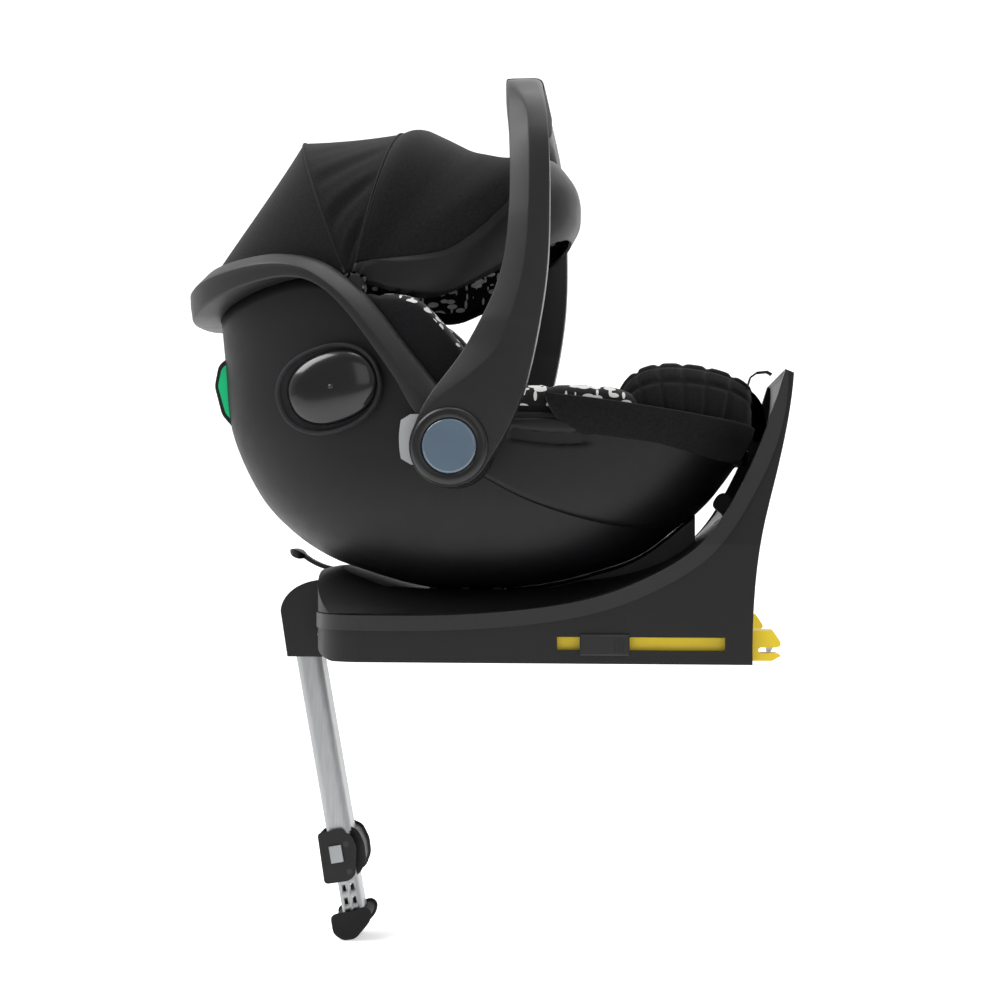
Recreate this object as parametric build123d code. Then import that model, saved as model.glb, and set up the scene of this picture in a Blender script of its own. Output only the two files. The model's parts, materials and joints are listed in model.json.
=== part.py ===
from build123d import *
import math
import os

# An infant carrier with a carry handle and a folding canopy, seated on an ISOFIX base
# with a support leg.  Everything is drawn in millimetres from the middle of the base's
# underside (X towards the vehicle's backrest, Y across, Z up) and is moved at the end, so
# that the origin lies midway between the two vehicle anchor bars.

# ------------------------------------------------------------------ vehicle anchorages
ANCHOR_SPACING = 280.0
ANCHOR_BAR_D = 6.0
ANCHOR_X = 231.0
ANCHOR_Z = 14.0

# ------------------------------------------------------------------ clearances
FIT = 0.05              # radial clearance of a running fit
SOFT_GAP = 0.4          # between a soft piece and its neighbours
FOAM_GAP = 1.2          # between the foam body and the shell
SLIDE_GAP = 0.4         # beside a sliding or lifting piece
CRADLE_GAP = 4.0        # round the carrier in its base
SEAM = 0.1              # between pieces that rest on or are fixed to each other

# ------------------------------------------------------------------ carrier hull
HULL_X = -90.0
HULL_BOTTOM = 72.0
HULL_BACK = 287.0
HULL_FRONT = 330.0
HULL_HEIGHT = 363.0
HULL_HALF_WIDTH = 179.0
PLAN_SQUARENESS = 3.0
PLAN_POINTS = 12
SHELL_WALL = 4.0
# level, reach back, reach forward and half width, as shares of the four sizes above
HULL_SHAPE = [
    (0.000, 0.139, 0.119, 0.251), (0.019, 0.244, 0.283, 0.480), (0.050, 0.373, 0.423, 0.637),
    (0.099, 0.544, 0.577, 0.754), (0.182, 0.700, 0.705, 0.849), (0.298, 0.829, 0.842, 0.922),
    (0.490, 0.937, 0.970, 0.966), (0.711, 0.965, 0.988, 0.989), (1.000, 1.000, 1.000, 1.000)]

# side outlines of the carrier (X, Z)
RIM_LOW = [(-430, 350), (-369, 371), (-340, 385), (-294, 401), (-248, 408), (-215, 398),
           (-183, 366), (-141, 304), (-108, 252)]
RIM_HIGH = [(-62, 262), (-84, 294), (-110, 332), (-162, 391), (-204, 418), (-247, 435),
            (-304, 431), (-354, 421), (-430, 403)]
SHELL_TOP_FOOT = [(-62, 262), (20, 262), (110, 252), (190, 240), (262, 228)]
RIM_FLARE = 18.0
RIM_BACK_FLARE = 34.0
RIM_WALL = 3.5
PANEL_LOW = [(-62, 198), (-8, 170), (64, 148), (126, 143), (176, 158), (214, 196), (262, 226)]
PANEL_THICK = 3.0
PANEL_TOP_DROP = 6.0

# belt guide behind the shell
GUIDE_OUT = [(-330, 346), (-366, 345), (-380, 330), (-383, 300), (-374, 262), (-356, 242), (-330, 240)]
GUIDE_IN = [(-330, 338), (-364, 338), (-375, 326), (-378, 300), (-370, 268), (-352, 252), (-330, 252)]
GUIDE_HALF = 62.0

# foam body and seat hollow
FOAM_TOP = [(-430, 372), (-354, 384), (-294, 391), (-247, 393), (-204, 384), (-170, 378),
            (-132, 368), (-104, 340), (-80, 304), (-50, 284), (-20, 279), (100, 270), (190, 256),
            (262, 246)]
SEAT_BACK = [(-340, 384), (-226, 250)]
SEAT_LINE = [(-226, 250), (-120, 166), (-66, 142), (-6, 138), (60, 156), (140, 206), (262, 262)]
SEAT_OPEN = [(300, 460), (-340, 460)]
RECLINE = math.radians(40.0)
SEAT_HALF_WIDTH = 122.0
SEAT_WALL = 24.0

# pads, harness and its buckle
PAD_THICK = 20.0
PAD_HALF = 94.0
PAD_FRONT_X = 58.0
HEADREST_HALF = 90.0
HEADREST_LOW = 8.0      # up the back from its foot
HEADREST_HIGH = 108.0
HEADREST_THICK = 22.0
HEADREST_WING = 92.0
WING_THICK = 22.0
STRAP_WIDE = 38.0
STRAP_THICK = 2.4
STRAP_SPREAD = 40.0
STRAP_TOP_X = -212.5
STRAP_CEILING = 275.0
BUCKLE_X = -38.0
BUCKLE_LONG = 50.0
BUCKLE_WIDE = 46.0
BUCKLE_HIGH = 24.0
BUCKLE_FLOOR = 158.0
BUTTON_LONG = 20.0
BUTTON_WIDE = 26.0
BUTTON_STROKE = 3.0
ADJUSTER_X = 96.0
ADJUSTER_LONG = 34.0
ADJUSTER_HIGH = 12.0
TAIL_LONG = 50.0
CUSHION_TOP = [(84, 270), (86, 292), (104, 314), (132, 328), (172, 325), (214, 309), (234, 292),
               (238, 268), (228, 246)]
CUSHION_HALF = 132.0

# ------------------------------------------------------------------ carry handle
HUB_X = -89.0
HUB_Z = 226.0
HUB_R = 42.0
HUB_PIN_R = 20.0
HUB_MOUNT_R = 43.0
HUB_MOUNT_Y = 188.4     # outer face of the moulded mount on the shell
BUTTON_THICK = 10.8
BUTTON_TRAVEL = 6.0
ARM_INNER_Y = 200.4
ARM_OUTER_Y = 222.0
CAP_R = 34.0
CAP_DEPTH = 5.0
DISC_R = 28.0
HANDLE_TOP = 656.0
GRIP_DEPTH = 32.0
GRIP_HALF = 82.0
GRIP_SKIN = 4.0
# side outline of the arm above the hub, back edge up and front edge down
ARM_BACK = [(-128, 241), (-112, 276), (-72, 332), (-40, 400), (-30, 470), (-29, 560), (-38, 630)]
ARM_FRONT = [(0, 630), (11, 560), (13, 470), (9, 390), (-8, 300), (-28, 246), (-54, 203)]
# the arch seen from the front: drop in from the arm's plane, and height
ARM_STRAIGHT_Z = 330.0
ARM_ARCH = [(0.5, 370), (9, 480), (36, 578), (98, 640)]
ARCH_INNER = [(0.5, 370), (8, 474), (32, 558), (86, 610)]
ARM_CROWN_Z = 676.0
GRIP_BACK_X = -38.0
GRIP_FRONT_X = 0.0

# ------------------------------------------------------------------ canopy
CANOPY_X = -195.0
CANOPY_Z = 400.0
CANOPY_PIN_R = 4.0
BOW_REAR_ANGLE = 115.0
BOW_REAR_R = 190.0
BOW_REAR_HALF = 160.0
BOW_FRONT_ANGLE = 75.8
BOW_FRONT_R = 206.0
BOW_FRONT_HALF = 154.0
BOW_DEPTH = 5.0         # across the strip, in the bow's plane
BOW_THICK = 6.0
BOW_EYE_R = 9.0
BOW_SQUARENESS = 2.5
CLOTH = 1.6
REAR_EDGE_ANGLE = 173.0
REAR_EDGE_R = 180.0
REAR_EDGE_HALF = 150.0
CLOTH_FOOT = 28.0
CLOTH_GAP = 0.5
ARCH_POINTS = 9
VISOR_HALF = 148.0
VISOR_THICK = 3.0
# angle and reach of the canopy's front, from the front bow down to the chin of the visor
FRONT_SECTIONS = [(58.0, 222), (42.0, 258), (32.0, 260), (24.0, 253), (15.0, 234), (5.0, 196),
                  (-6.0, 150), (-18.0, 104)]
VISOR_HIGH = [(-172, 414), (-150, 424), (-112, 427), (-55, 464), (-22, 512), (2, 566), (20, 600)]
VISOR_LOW = [(60, 486), (25, 461), (-40, 416), (-81, 392), (-112, 384), (-146, 386), (-172, 396)]

# ------------------------------------------------------------------ side pods
POD_X = -221.0
POD_Z = 288.0
POD_TILT = 20.0
POD_LONG = 57.0
POD_SHORT = 46.0
POD_RING = 6.0
POD_FACE_Y = 186.0
POD_DOME = 17.0
POD_DOME_SHIFT = 3.0
POD_DOME_SHAPE = [(0.0, 1.0), (0.45, 0.95), (0.8, 0.75), (1.0, 0.4)]
POD_MARGIN = 4.0
POD_SEAT_Y = 180.0

# ------------------------------------------------------------------ base
BASE_LENGTH = 454.0
BASE_END_X = 221.0
BASE_HALF_WIDTH = 168.0
BASE_WALL = 14.0
BASE_NOSE_X = -256.0
TROUGH_FLOOR = 40.0
BAND_HIGH = [(-262, 50), (-104, 50), (-10, 57), (63, 71), (122, 95), (167, 125), (207, 181),
             (231, 232), (257, 309)]
BAND_HEIGHT = 16.0
BAND_PROUD = 1.5
BAND_TIP = 3.0
REAR_LINE = [(221, 0), (223, 70), (231, 134), (247, 200), (256, 239), (266, 305)]
REAR_WALL = 15.0
PANEL_TOP_HALF = 142.0
PANEL_TOP_Z = 311.0
# station along the base, edge height and crown height of the deck
DECK_SHAPE = [(-258, 50, 93), (-226, 50, 98), (-146, 51, 86), (-60, 53, 79), (40, 66, 84),
              (120, 94, 100), (170, 127, 130), (204, 172, 158)]
DECK_FLOOR = 40.4
DECK_GAP = 0.6
RIB_PITCH = 42.0
RIB_THICK = 3.0
RIB_CEILING = 34.0
RIB_ROWS = [(42.0, 82.0), (85.0, 126.0)]
RIB_START_X = -188.0
RIB_COUNT = 9
SCREW_SPOTS = [(-180, 146), (-100, 146), (208, 60)]
SCREW_R = 4.0
SCREW_HEAD = 2.6

# support leg
LEG_PIVOT_X = -256.0
LEG_PIVOT_Z = 20.0
LEG_PIN_R = 4.0
LEG_TOP_X = -274.5
LEG_TOP_Z = -6.0
LEG_TILT = 10.0
LEG_WIDE = 40.0         # across the seat
LEG_DEEP = 29.0
LEG_TUBE = 205.0
LEG_WALL = 2.0
LEG_CORNER = 8.0
LEG_SOCKET = 24.0       # up into the knuckle
LEG_INNER_START = 60.0  # down from the knuckle's mouth
LEG_INNER_END = 282.0
LEG_HOLE = (4.4, 7.5)
LEG_HOLE_PITCH = 15.0
LEG_HOLE_COUNT = 12
KNUCKLE_HALF = 29.6
KNUCKLE_TOP = [(-304, 46), (-298, 62), (-284, 74), (-262, 81)]
KNUCKLE_LOW = [(-248, 74), (-247, 16), (-256, -6), (-296, -6)]
CLAMP_FACE = [(-257, -205), (-222, -199), (-208, -208), (-205, -223), (-208, -240), (-219, -254),
              (-247, -259)]
CLAMP_HALF = 26.0
CLAMP_LIP = 6.0         # how far the clamp closes round the inner tube
FOOT_FACE = [(-236, -279), (-238, -298), (-231, -311), (-214, -316), (-200, -308), (-198, -295),
             (-205, -279), (-213, -275)]
FOOT_HALF = 24.0
LEG_KEY = (14.0, 19.0, 5.4)
LEG_KEY_STROKE = 3.0
EAR_INNER = 30.0
EAR_OUTER = 36.0
EAR_FACE = [(-262, 8), (-200, 8), (-200, 30), (-262, 30)]
EAR_R = 11.0
CHANNEL_HALF = 36.2
CHANNEL_DEPTH = 31.0
NOTCH_X = -236.0
NOTCH_TOP = 83.0
CHANNEL_END_X = 196.0

# ISOFIX arms
ARM_INNER_FACE = 134.0
ARM_OUTER_FACE = 160.0
ARM_BAR_HIGH = 14.0
ARM_TAIL_X = -30.0
ARM_HEAD_X = 216.0
ARM_Z = 21.0
CONNECTOR_WIDE = 23.0
CONNECTOR_LOW = 3.0
CONNECTOR_HIGH = 35.0
CONNECTOR_BACK_X = 212.0
CONNECTOR_TIP_X = 251.0
HOOK_THICK = 6.0
HOOK_PIVOT_X = 229.0
HOOK_PIVOT_Z = 27.5
HOOK_PIN_R = 2.0
SLOT_START_X = 18.0
SLOT_END_X = 193.0
SLIDER_START_X = 42.0
SLIDER_LENGTH = 52.0
SLIDER_LOW = 9.0
SLIDER_HIGH = 31.0
SLIDER_PROUD = 4.6
HOOK_FACE = [(226, 31), (240, 32), (244, 27), (243.5, 16), (241, 12), (237, 12), (236.5, 20),
             (234, 23), (226, 24)]
HOOK_BOSS_R = 4.5

# release lever and rear latch
LEVER_PIVOT_X = -251.0
LEVER_PIVOT_Z = 91.0
LEVER_PIN_R = 2.0
LEVER_BOSS_R = 4.8
LEVER_HALF = 6.0
LEVER_SLOT_HALF = 7.0
LEVER_STEM = [(-249, 95.5), (-270, 103), (-283, 112)]
LEVER_STEM_THICK = 4.5
SPOON_X = -289.0
SPOON_Z = 110.5
SPOON_HALF = 15.0
SPOON_LONG = 9.5
SPOON_THICK = 4.5
SPOON_TILT = -25.0
LATCH_X = 199.0
LATCH_Z = 148.0
LATCH_HALF = 10.0
LATCH_FACE = [(194.5, 146), (194, 158), (187, 165), (189, 173), (198, 180), (205, 176), (206, 162),
              (204, 146)]
LATCH_POCKET = [(188, 206), (138, 200)]
LATCH_POCKET_HALF = 10.8
SADDLE_RIBS = [(-128, -120), (-92, -84), (-56, -48)]    # the carrier rests on these
SADDLE_HALF = 70.0

FAR = 600.0             # beyond every surface, for cutting tools


# ------------------------------------------------------------------ drawing helpers
def outline(*runs):
    """A closed face through runs of points; a run of three or more is a smooth curve."""
    edges = []
    for run, after in zip(runs, runs[1:] + runs[:1]):
        if len(run) > 1:
            edges.append(Spline(*run) if len(run) > 2 else Line(*run))
        if run[-1] != after[0]:
            edges.append(Line(run[-1], after[0]))
    return make_face(edges)


def across(face, y0, y1):
    """A side outline (X, Z) drawn out along Y."""
    return extrude(Plane.XZ.offset(-y0) * face, amount=-(y1 - y0))


def upright(face, z0, z1):
    """A plan outline (X, Y) drawn out along Z."""
    return extrude(Plane.XY.offset(z0) * face, amount=z1 - z0)


def along(face, x0, x1):
    """A front outline (Y, Z) drawn out along X."""
    return extrude(Plane.YZ.offset(x0) * face, amount=x1 - x0)


def block(x0, x1, y0, y1, z0, z1):
    """A plain box between two corners."""
    return Pos((x0 + x1) / 2, (y0 + y1) / 2, (z0 + z1) / 2) * Box(x1 - x0, y1 - y0, z1 - z0)


def beside(line, distance):
    """The same run of points, moved square to itself."""
    moved = []
    for i, (x, z) in enumerate(line):
        before = line[max(i - 1, 0)]
        after = line[min(i + 1, len(line) - 1)]
        run = math.hypot(after[0] - before[0], after[1] - before[1])
        moved.append((x - distance * (after[1] - before[1]) / run,
                      z + distance * (after[0] - before[0]) / run))
    return moved


def group(*shapes):
    """Separate solids as one node."""
    return Compound([solid for shape in shapes for solid in shape.solids()])


def both_sides(shape):
    """A piece and its mirror image, as separate solids of one node."""
    return group(shape, far_side(shape))


def rod_y(x, z, r, y0, y1):
    """A cylinder along Y."""
    return across(Pos(x, z) * Circle(r), y0, y1)


def far_side(shape):
    """The same piece on the other side of the seat."""
    return mirror(shape, about=Plane.XZ)


def as_solid(shape):
    """The one solid of a boolean's result."""
    return max(shape.solids(), key=lambda s: s.volume)


# ------------------------------------------------------------------ carrier
def oval(back, front, half, squareness):
    """A squared oval in plan."""
    centre = (back + front) / 2
    reach = (front - back) / 2
    power = 2 / squareness
    points = []
    for i in range(PLAN_POINTS):
        turn = 2 * math.pi * i / PLAN_POINTS
        c, s = math.cos(turn), math.sin(turn)
        points.append((centre + reach * math.copysign(abs(c) ** power, c),
                       half * math.copysign(abs(s) ** power, s)))
    one_half = make_face(Spline(*points, periodic=True)) & Pos(centre, FAR / 2) * Rectangle(2 * FAR, FAR)
    return one_half + mirror(one_half, about=Plane.XZ)


def hull(grow=0.0, grow_back=None, lift=0.0):
    """The carrier's outer form, grown sideways and raised by the given amounts."""
    grow_back = grow if grow_back is None else grow_back
    back_line, front_line, half_line = [], [], []
    for level, back, front, half in HULL_SHAPE:
        z = HULL_BOTTOM + lift + level * HULL_HEIGHT
        back_line.append((HULL_X - back * HULL_BACK - grow_back, z))
        front_line.append((HULL_X + front * HULL_FRONT + grow, z))
        half_line.append((half * HULL_HALF_WIDTH + grow, z))
    side = across(outline(back_line[::-1] + front_line), -FAR, FAR)
    near_line = [(-half, z) for half, z in half_line]
    ends = along(outline(near_line[::-1] + half_line), -FAR, FAR)
    plan = oval(back_line[-1][0], front_line[-1][0], half_line[-1][0], PLAN_SQUARENESS)
    return side & ends & upright(plan, 0, FAR)


def below(line):
    """Everything under a side line, down to the base's underside."""
    return across(outline(list(line), [(line[-1][0], 0)], [(line[0][0], 0)]), -FAR, FAR)


def make_shell_and_rim(outer, inner):
    """The bucket shell, and the flared rim, which is open underneath."""
    foot = [(262, 0)]
    head = [(-430, 0)]
    shell_area = across(outline(RIM_LOW, SHELL_TOP_FOOT, foot, head), -FAR, FAR)
    shell = (outer & shell_area) - inner
    rim_area = across(outline(RIM_LOW, RIM_HIGH), -FAR, FAR)
    rim = (hull(RIM_FLARE, grow_back=RIM_BACK_FLARE) & rim_area) - inner
    gutter = hull(RIM_FLARE - RIM_WALL, grow_back=RIM_BACK_FLARE - RIM_WALL) - hull(RIM_WALL)
    rim -= gutter & rim_area.moved(Location((-RIM_WALL, 0, -RIM_WALL)))
    for side in (-1, 1):
        ends = sorted((side * HULL_HALF_WIDTH * 0.8, side * FAR))
        rim -= rod_y(HUB_X, HUB_Z, HUB_MOUNT_R + SLIDE_GAP, *ends)
    return shell, as_solid(rim)


def make_side_panel(outer):
    """The near side panel, a cover that follows the hull, with its belt groove."""
    top = [(262, 222), (190, 234), (110, 246), (20, 256), (-48, 256)]
    area = across(outline(PANEL_LOW, top, [(-62, 198)]), -FAR, 0)
    panel = (hull(PANEL_THICK) & area) - outer
    panel -= rod_y(HUB_X, HUB_Z, HUB_MOUNT_R + SLIDE_GAP, -FAR, 0)
    groove = outline([(-24, 247), (8, 245), (70, 239)], [(70, 233), (10, 229), (-24, 233)])
    panel -= across(groove, -FAR, -HULL_HALF_WIDTH + 4)
    return as_solid(panel)


def seat_face(rise=0.0):
    """The side outline of the seat hollow, raised square to a reclined back."""
    shift = Pos(rise * math.sin(RECLINE), rise * math.cos(RECLINE))
    return shift * outline(SEAT_BACK, SEAT_LINE, SEAT_OPEN)


def make_foam():
    """The foam body: it fills the shell round the seat hollow."""
    lift = SHELL_WALL + FOAM_GAP
    body = hull(-lift, lift=lift) & below(FOAM_TOP)
    hollow = across(seat_face(), -SEAT_HALF_WIDTH, SEAT_HALF_WIDTH)
    return body - (hollow & hull(-SEAT_WALL, lift=SEAT_WALL))


def make_hub_mount(outer):
    """The near moulded mount with the pin that the handle turns on."""
    mount = rod_y(HUB_X, HUB_Z, HUB_MOUNT_R, -HUB_MOUNT_Y, -HULL_HALF_WIDTH * 0.85) - outer
    mount = as_solid(mount)
    mount += rod_y(HUB_X, HUB_Z, HUB_PIN_R, -(ARM_OUTER_Y - CAP_DEPTH - 2), -HUB_MOUNT_Y + 1)
    return mount


def make_belt_guide(outer):
    """The vehicle belt's guide hook behind the shell, and its coloured liner."""
    hook = across(outline(GUIDE_OUT), -GUIDE_HALF, GUIDE_HALF)
    hook -= across(outline(GUIDE_IN), -GUIDE_HALF, GUIDE_HALF)
    liner = across(outline(GUIDE_IN), -GUIDE_HALF, GUIDE_HALF)
    return hook - outer, as_solid(liner - outer)


def make_pod(outer):
    """The near side-impact pod: its bezel ring on the shell, and the domed cover."""
    spot = Pos(POD_X, POD_Z) * Rot(0, 0, POD_TILT)
    ring = spot * (Ellipse(POD_LONG, POD_SHORT) - Ellipse(POD_LONG - POD_RING, POD_SHORT - POD_RING))
    bezel = across(ring, -POD_FACE_Y, -POD_FACE_Y + 60) - outer
    bed = spot * Ellipse(POD_LONG - POD_RING, POD_SHORT - POD_RING)
    bezel += across(bed, -POD_SEAT_Y, -POD_SEAT_Y + 50) - outer
    sections = []
    for rise, share in POD_DOME_SHAPE:
        shape = Ellipse((POD_LONG - POD_RING - POD_MARGIN) * share, (POD_SHORT - POD_RING - POD_MARGIN) * share)
        place = Pos(POD_X + POD_DOME_SHIFT, POD_Z) * Rot(0, 0, POD_TILT)
        sections.append(Plane.XZ.offset(POD_SEAT_Y + SLIDE_GAP + rise * POD_DOME) * (place * shape))
    return as_solid(bezel), loft(sections)


def make_pads():
    """The soft inner pads, which lie in the seat hollow."""
    inner = hull(-SEAT_WALL - SOFT_GAP, lift=SEAT_WALL + SOFT_GAP)
    pad = seat_face(SOFT_GAP) - seat_face(PAD_THICK)
    pad = across(pad, -PAD_HALF, PAD_HALF)
    foot_x, foot_z = SEAT_BACK[1]
    pad &= across(outline([(foot_x, foot_z - 60), (PAD_FRONT_X, 0)], [(PAD_FRONT_X, 300)],
                          [(foot_x + 40, foot_z + 40)]), -FAR, FAR)
    up = Plane(origin=(foot_x, 0, foot_z), x_dir=(0, 1, 0), z_dir=back_direction())
    back = block(-HEADREST_HALF, HEADREST_HALF, -HEADREST_THICK, -SOFT_GAP, HEADREST_LOW, HEADREST_HIGH)
    for side in (-1, 1):
        ends = sorted((side * HEADREST_HALF, side * (HEADREST_HALF - WING_THICK)))
        wing = outline([(-SOFT_GAP, HEADREST_LOW), (-HEADREST_WING * 0.7, HEADREST_LOW + 12),
                        (-HEADREST_WING, HEADREST_LOW + 45), (-HEADREST_WING * 0.8, HEADREST_HIGH - 18),
                        (-SOFT_GAP, HEADREST_HIGH)])
        back += extrude(Plane.YZ.offset(ends[0]) * wing, amount=ends[1] - ends[0])
    headrest = up.location * back
    cushion = across(outline(CUSHION_TOP), -CUSHION_HALF, CUSHION_HALF) & hull(-3.0)
    cushion -= below(FOAM_TOP).moved(Location((0, 0, SOFT_GAP)))
    return as_solid(pad & inner), headrest, as_solid(cushion)


def back_direction():
    """The way up the reclined back."""
    top, foot = SEAT_BACK
    run = math.hypot(top[0] - foot[0], top[1] - foot[1])
    return ((top[0] - foot[0]) / run, 0, (top[1] - foot[1]) / run)


def strap_layer(x0, x1, y0, y1, low, high):
    """A flat strap that follows the seat between two heights over the foam."""
    window = Pos((x0 + x1) / 2, STRAP_CEILING / 2) * Rectangle(x1 - x0, STRAP_CEILING)
    strip = (seat_face(low) & window) - seat_face(high)
    return as_solid(across(strip, y0, y1))


def make_harness():
    """Shoulder and crotch straps, the buckle with its button, and the adjuster."""
    low = PAD_THICK + SOFT_GAP
    high = low + STRAP_THICK
    half = STRAP_WIDE / 2
    buckle_end = BUCKLE_X - BUCKLE_LONG / 2
    shoulder = strap_layer(STRAP_TOP_X, buckle_end + 12, -STRAP_SPREAD - half, -STRAP_SPREAD + half,
                           low, high)
    crotch = strap_layer(BUCKLE_X - 5, BUCKLE_X + 62, -half, half, low, high)
    straps = group(shoulder, far_side(shoulder), crotch)
    floor = BUCKLE_FLOOR
    body = block(BUCKLE_X - BUCKLE_LONG / 2, BUCKLE_X + BUCKLE_LONG / 2, -BUCKLE_WIDE / 2,
                 BUCKLE_WIDE / 2, floor, floor + BUCKLE_HIGH)
    body = fillet(body.edges().filter_by(Axis.Z), 8)
    body = as_solid(body & across(seat_face(high + SEAM), -FAR, FAR))
    key_x = BUCKLE_X + 8
    pocket = block(key_x - BUTTON_LONG / 2 - SLIDE_GAP, key_x + BUTTON_LONG / 2 + SLIDE_GAP,
                   -BUTTON_WIDE / 2 - SLIDE_GAP, BUTTON_WIDE / 2 + SLIDE_GAP,
                   floor + BUCKLE_HIGH - BUTTON_STROKE - 5, floor + BUCKLE_HIGH + 5)
    body -= pocket
    key = block(key_x - BUTTON_LONG / 2, key_x + BUTTON_LONG / 2, -BUTTON_WIDE / 2, BUTTON_WIDE / 2,
                floor + BUCKLE_HIGH - 4.6, floor + BUCKLE_HIGH + 0.8)
    return straps, body, key


def make_adjuster():
    """The harness adjuster at the front of the seat: housing, button and strap tail."""
    half = STRAP_WIDE / 2
    x0, x1 = ADJUSTER_X - ADJUSTER_LONG / 2, ADJUSTER_X + ADJUSTER_LONG / 2
    housing = strap_layer(x0, x1, -half - 3, half + 3, SOFT_GAP, ADJUSTER_HIGH)
    housing -= strap_layer(x0 + 6, x1 - 8, -half + 4, half - 4, ADJUSTER_HIGH - 7, ADJUSTER_HIGH + 9)
    button = strap_layer(x0 + 6 + SEAM, x1 - 8 - SEAM, -half + 4 + SEAM, half - 4 - SEAM,
                         ADJUSTER_HIGH - 3, ADJUSTER_HIGH + 2)
    tail = strap_layer(x1 + SLIDE_GAP, x1 + TAIL_LONG, -half, half, SOFT_GAP, SOFT_GAP + STRAP_THICK)
    return housing, button, tail


# ------------------------------------------------------------------ handle
def arch_face(inset=0.0):
    """The handle seen from the front, thinned by an inset on every side."""
    outer = [(ARM_OUTER_Y - drop - inset, z - inset * (z > 600)) for drop, z in ARM_ARCH]
    inner = [(ARM_INNER_Y - drop + inset, z + inset * (z > 600)) for drop, z in ARCH_INNER]
    outer.insert(0, (ARM_OUTER_Y - inset, ARM_STRAIGHT_Z))
    inner.insert(0, (ARM_INNER_Y + inset, ARM_STRAIGHT_Z))
    crown = [(0, HANDLE_TOP - inset)]
    under = [(0, HANDLE_TOP - GRIP_DEPTH + inset)]
    outer_run = [(-y, z) for y, z in outer] + crown + outer[::-1]
    inner_run = inner + under + [(-y, z) for y, z in inner[::-1]]
    feet = [[(ARM_OUTER_Y - inset, 0)], [(ARM_INNER_Y + inset, 0)]]
    far_feet = [[(-ARM_INNER_Y - inset, 0)], [(-ARM_OUTER_Y + inset, 0)]]
    return outline(outer_run, *feet, inner_run, *far_feet)


def make_handle():
    """The arched handle with its rubber grip, hub caps and hub discs."""
    top = [(GRIP_BACK_X, ARM_CROWN_Z), (GRIP_FRONT_X, ARM_CROWN_Z)]
    side = outline(ARM_BACK, top, ARM_FRONT) + Pos(HUB_X, HUB_Z) * Circle(HUB_R)
    form = across(side, -FAR, FAR) & along(arch_face(), -FAR, FAR)
    middle = block(-FAR, FAR, -GRIP_HALF, GRIP_HALF, 500, 800)
    core = along(arch_face(GRIP_SKIN), GRIP_BACK_X + GRIP_SKIN + 1, GRIP_FRONT_X - GRIP_SKIN)
    grip = (form & middle) - core
    frame = (form - middle) + (core & middle)
    bore_end = ARM_OUTER_Y - CAP_DEPTH - 1.5
    bore = rod_y(HUB_X, HUB_Z, HUB_PIN_R + FIT, -bore_end, -ARM_INNER_Y + 4)
    recess = rod_y(HUB_X, HUB_Z, CAP_R + 0.2, -ARM_OUTER_Y - 1, -ARM_OUTER_Y + CAP_DEPTH)
    frame -= both_sides(bore)
    frame -= both_sides(recess)
    cap = rod_y(HUB_X, HUB_Z, CAP_R, -ARM_OUTER_Y - 3, -ARM_OUTER_Y + CAP_DEPTH)
    cap -= rod_y(HUB_X, HUB_Z, DISC_R + 0.2, -ARM_OUTER_Y - 3, -ARM_OUTER_Y)
    disc = rod_y(HUB_X, HUB_Z, DISC_R, -ARM_OUTER_Y - 5, -ARM_OUTER_Y)
    disc = fillet(disc.faces().sort_by(Axis.Y)[0].edges(), 2.5)
    return as_solid(frame), as_solid(grip), both_sides(cap), both_sides(disc)


def make_handle_button():
    """The near release button: it slides towards the hub, behind the arm."""
    face = outline([(-142, 214), (-144, 234), (-142, 254)], [(-132, 260), (-104, 260)],
                   [(-104, 208), (-132, 208)])
    face -= Pos(HUB_X, HUB_Z) * Circle(HUB_PIN_R + BUTTON_TRAVEL + 3)
    start = HUB_MOUNT_Y + SLIDE_GAP
    return as_solid(across(face, -start - BUTTON_THICK, -start))


# ------------------------------------------------------------------ canopy
def arch(half, reach, foot):
    """Points of a squared arch from one foot to the other (across, out from the pivot)."""
    start = math.asin((foot / reach) ** (BOW_SQUARENESS / 2)) if foot else 0.0
    power = 2 / BOW_SQUARENESS
    points = []
    for i in range(ARCH_POINTS):
        turn = start + (math.pi - 2 * start) * i / (ARCH_POINTS - 1)
        c, s = math.cos(turn), max(math.sin(turn), 0.0)
        points.append((half * math.copysign(abs(c) ** power, c), reach * s ** power))
    return points


def swing_plane(angle):
    """The plane through the canopy pivots at an angle above the front."""
    turn = math.radians(angle)
    return Plane(origin=(CANOPY_X, 0, CANOPY_Z), x_dir=(0, 1, 0),
                 z_dir=(math.sin(turn), 0, -math.cos(turn)))


def arch_band(half, reach, thick, foot):
    """The face between an arch and a smaller one inside it."""
    return outline(arch(half, reach, foot), arch(half - thick, reach - thick, foot)[::-1])


def make_bow(angle, half, reach):
    """One flat canopy bow with an eye at each pivot."""
    plane = swing_plane(angle)
    bow = extrude(plane * arch_band(half, reach, BOW_DEPTH, 0.0), amount=BOW_THICK / 2, both=True)
    for y0, y1 in ((-half, BOW_DEPTH - half), (half - BOW_DEPTH, half)):
        bow += rod_y(CANOPY_X, CANOPY_Z, BOW_EYE_R, y0, y1)
    return as_solid(bow - rod_y(CANOPY_X, CANOPY_Z, CANOPY_PIN_R + FIT, -FAR, FAR))


def cloth_face(angle, half, reach, shift=0.0, thick=CLOTH):
    """The edge of a canopy panel, just clear of its bow."""
    return swing_plane(angle).offset(shift) * arch_band(half, reach, thick, CLOTH_FOOT)


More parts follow.
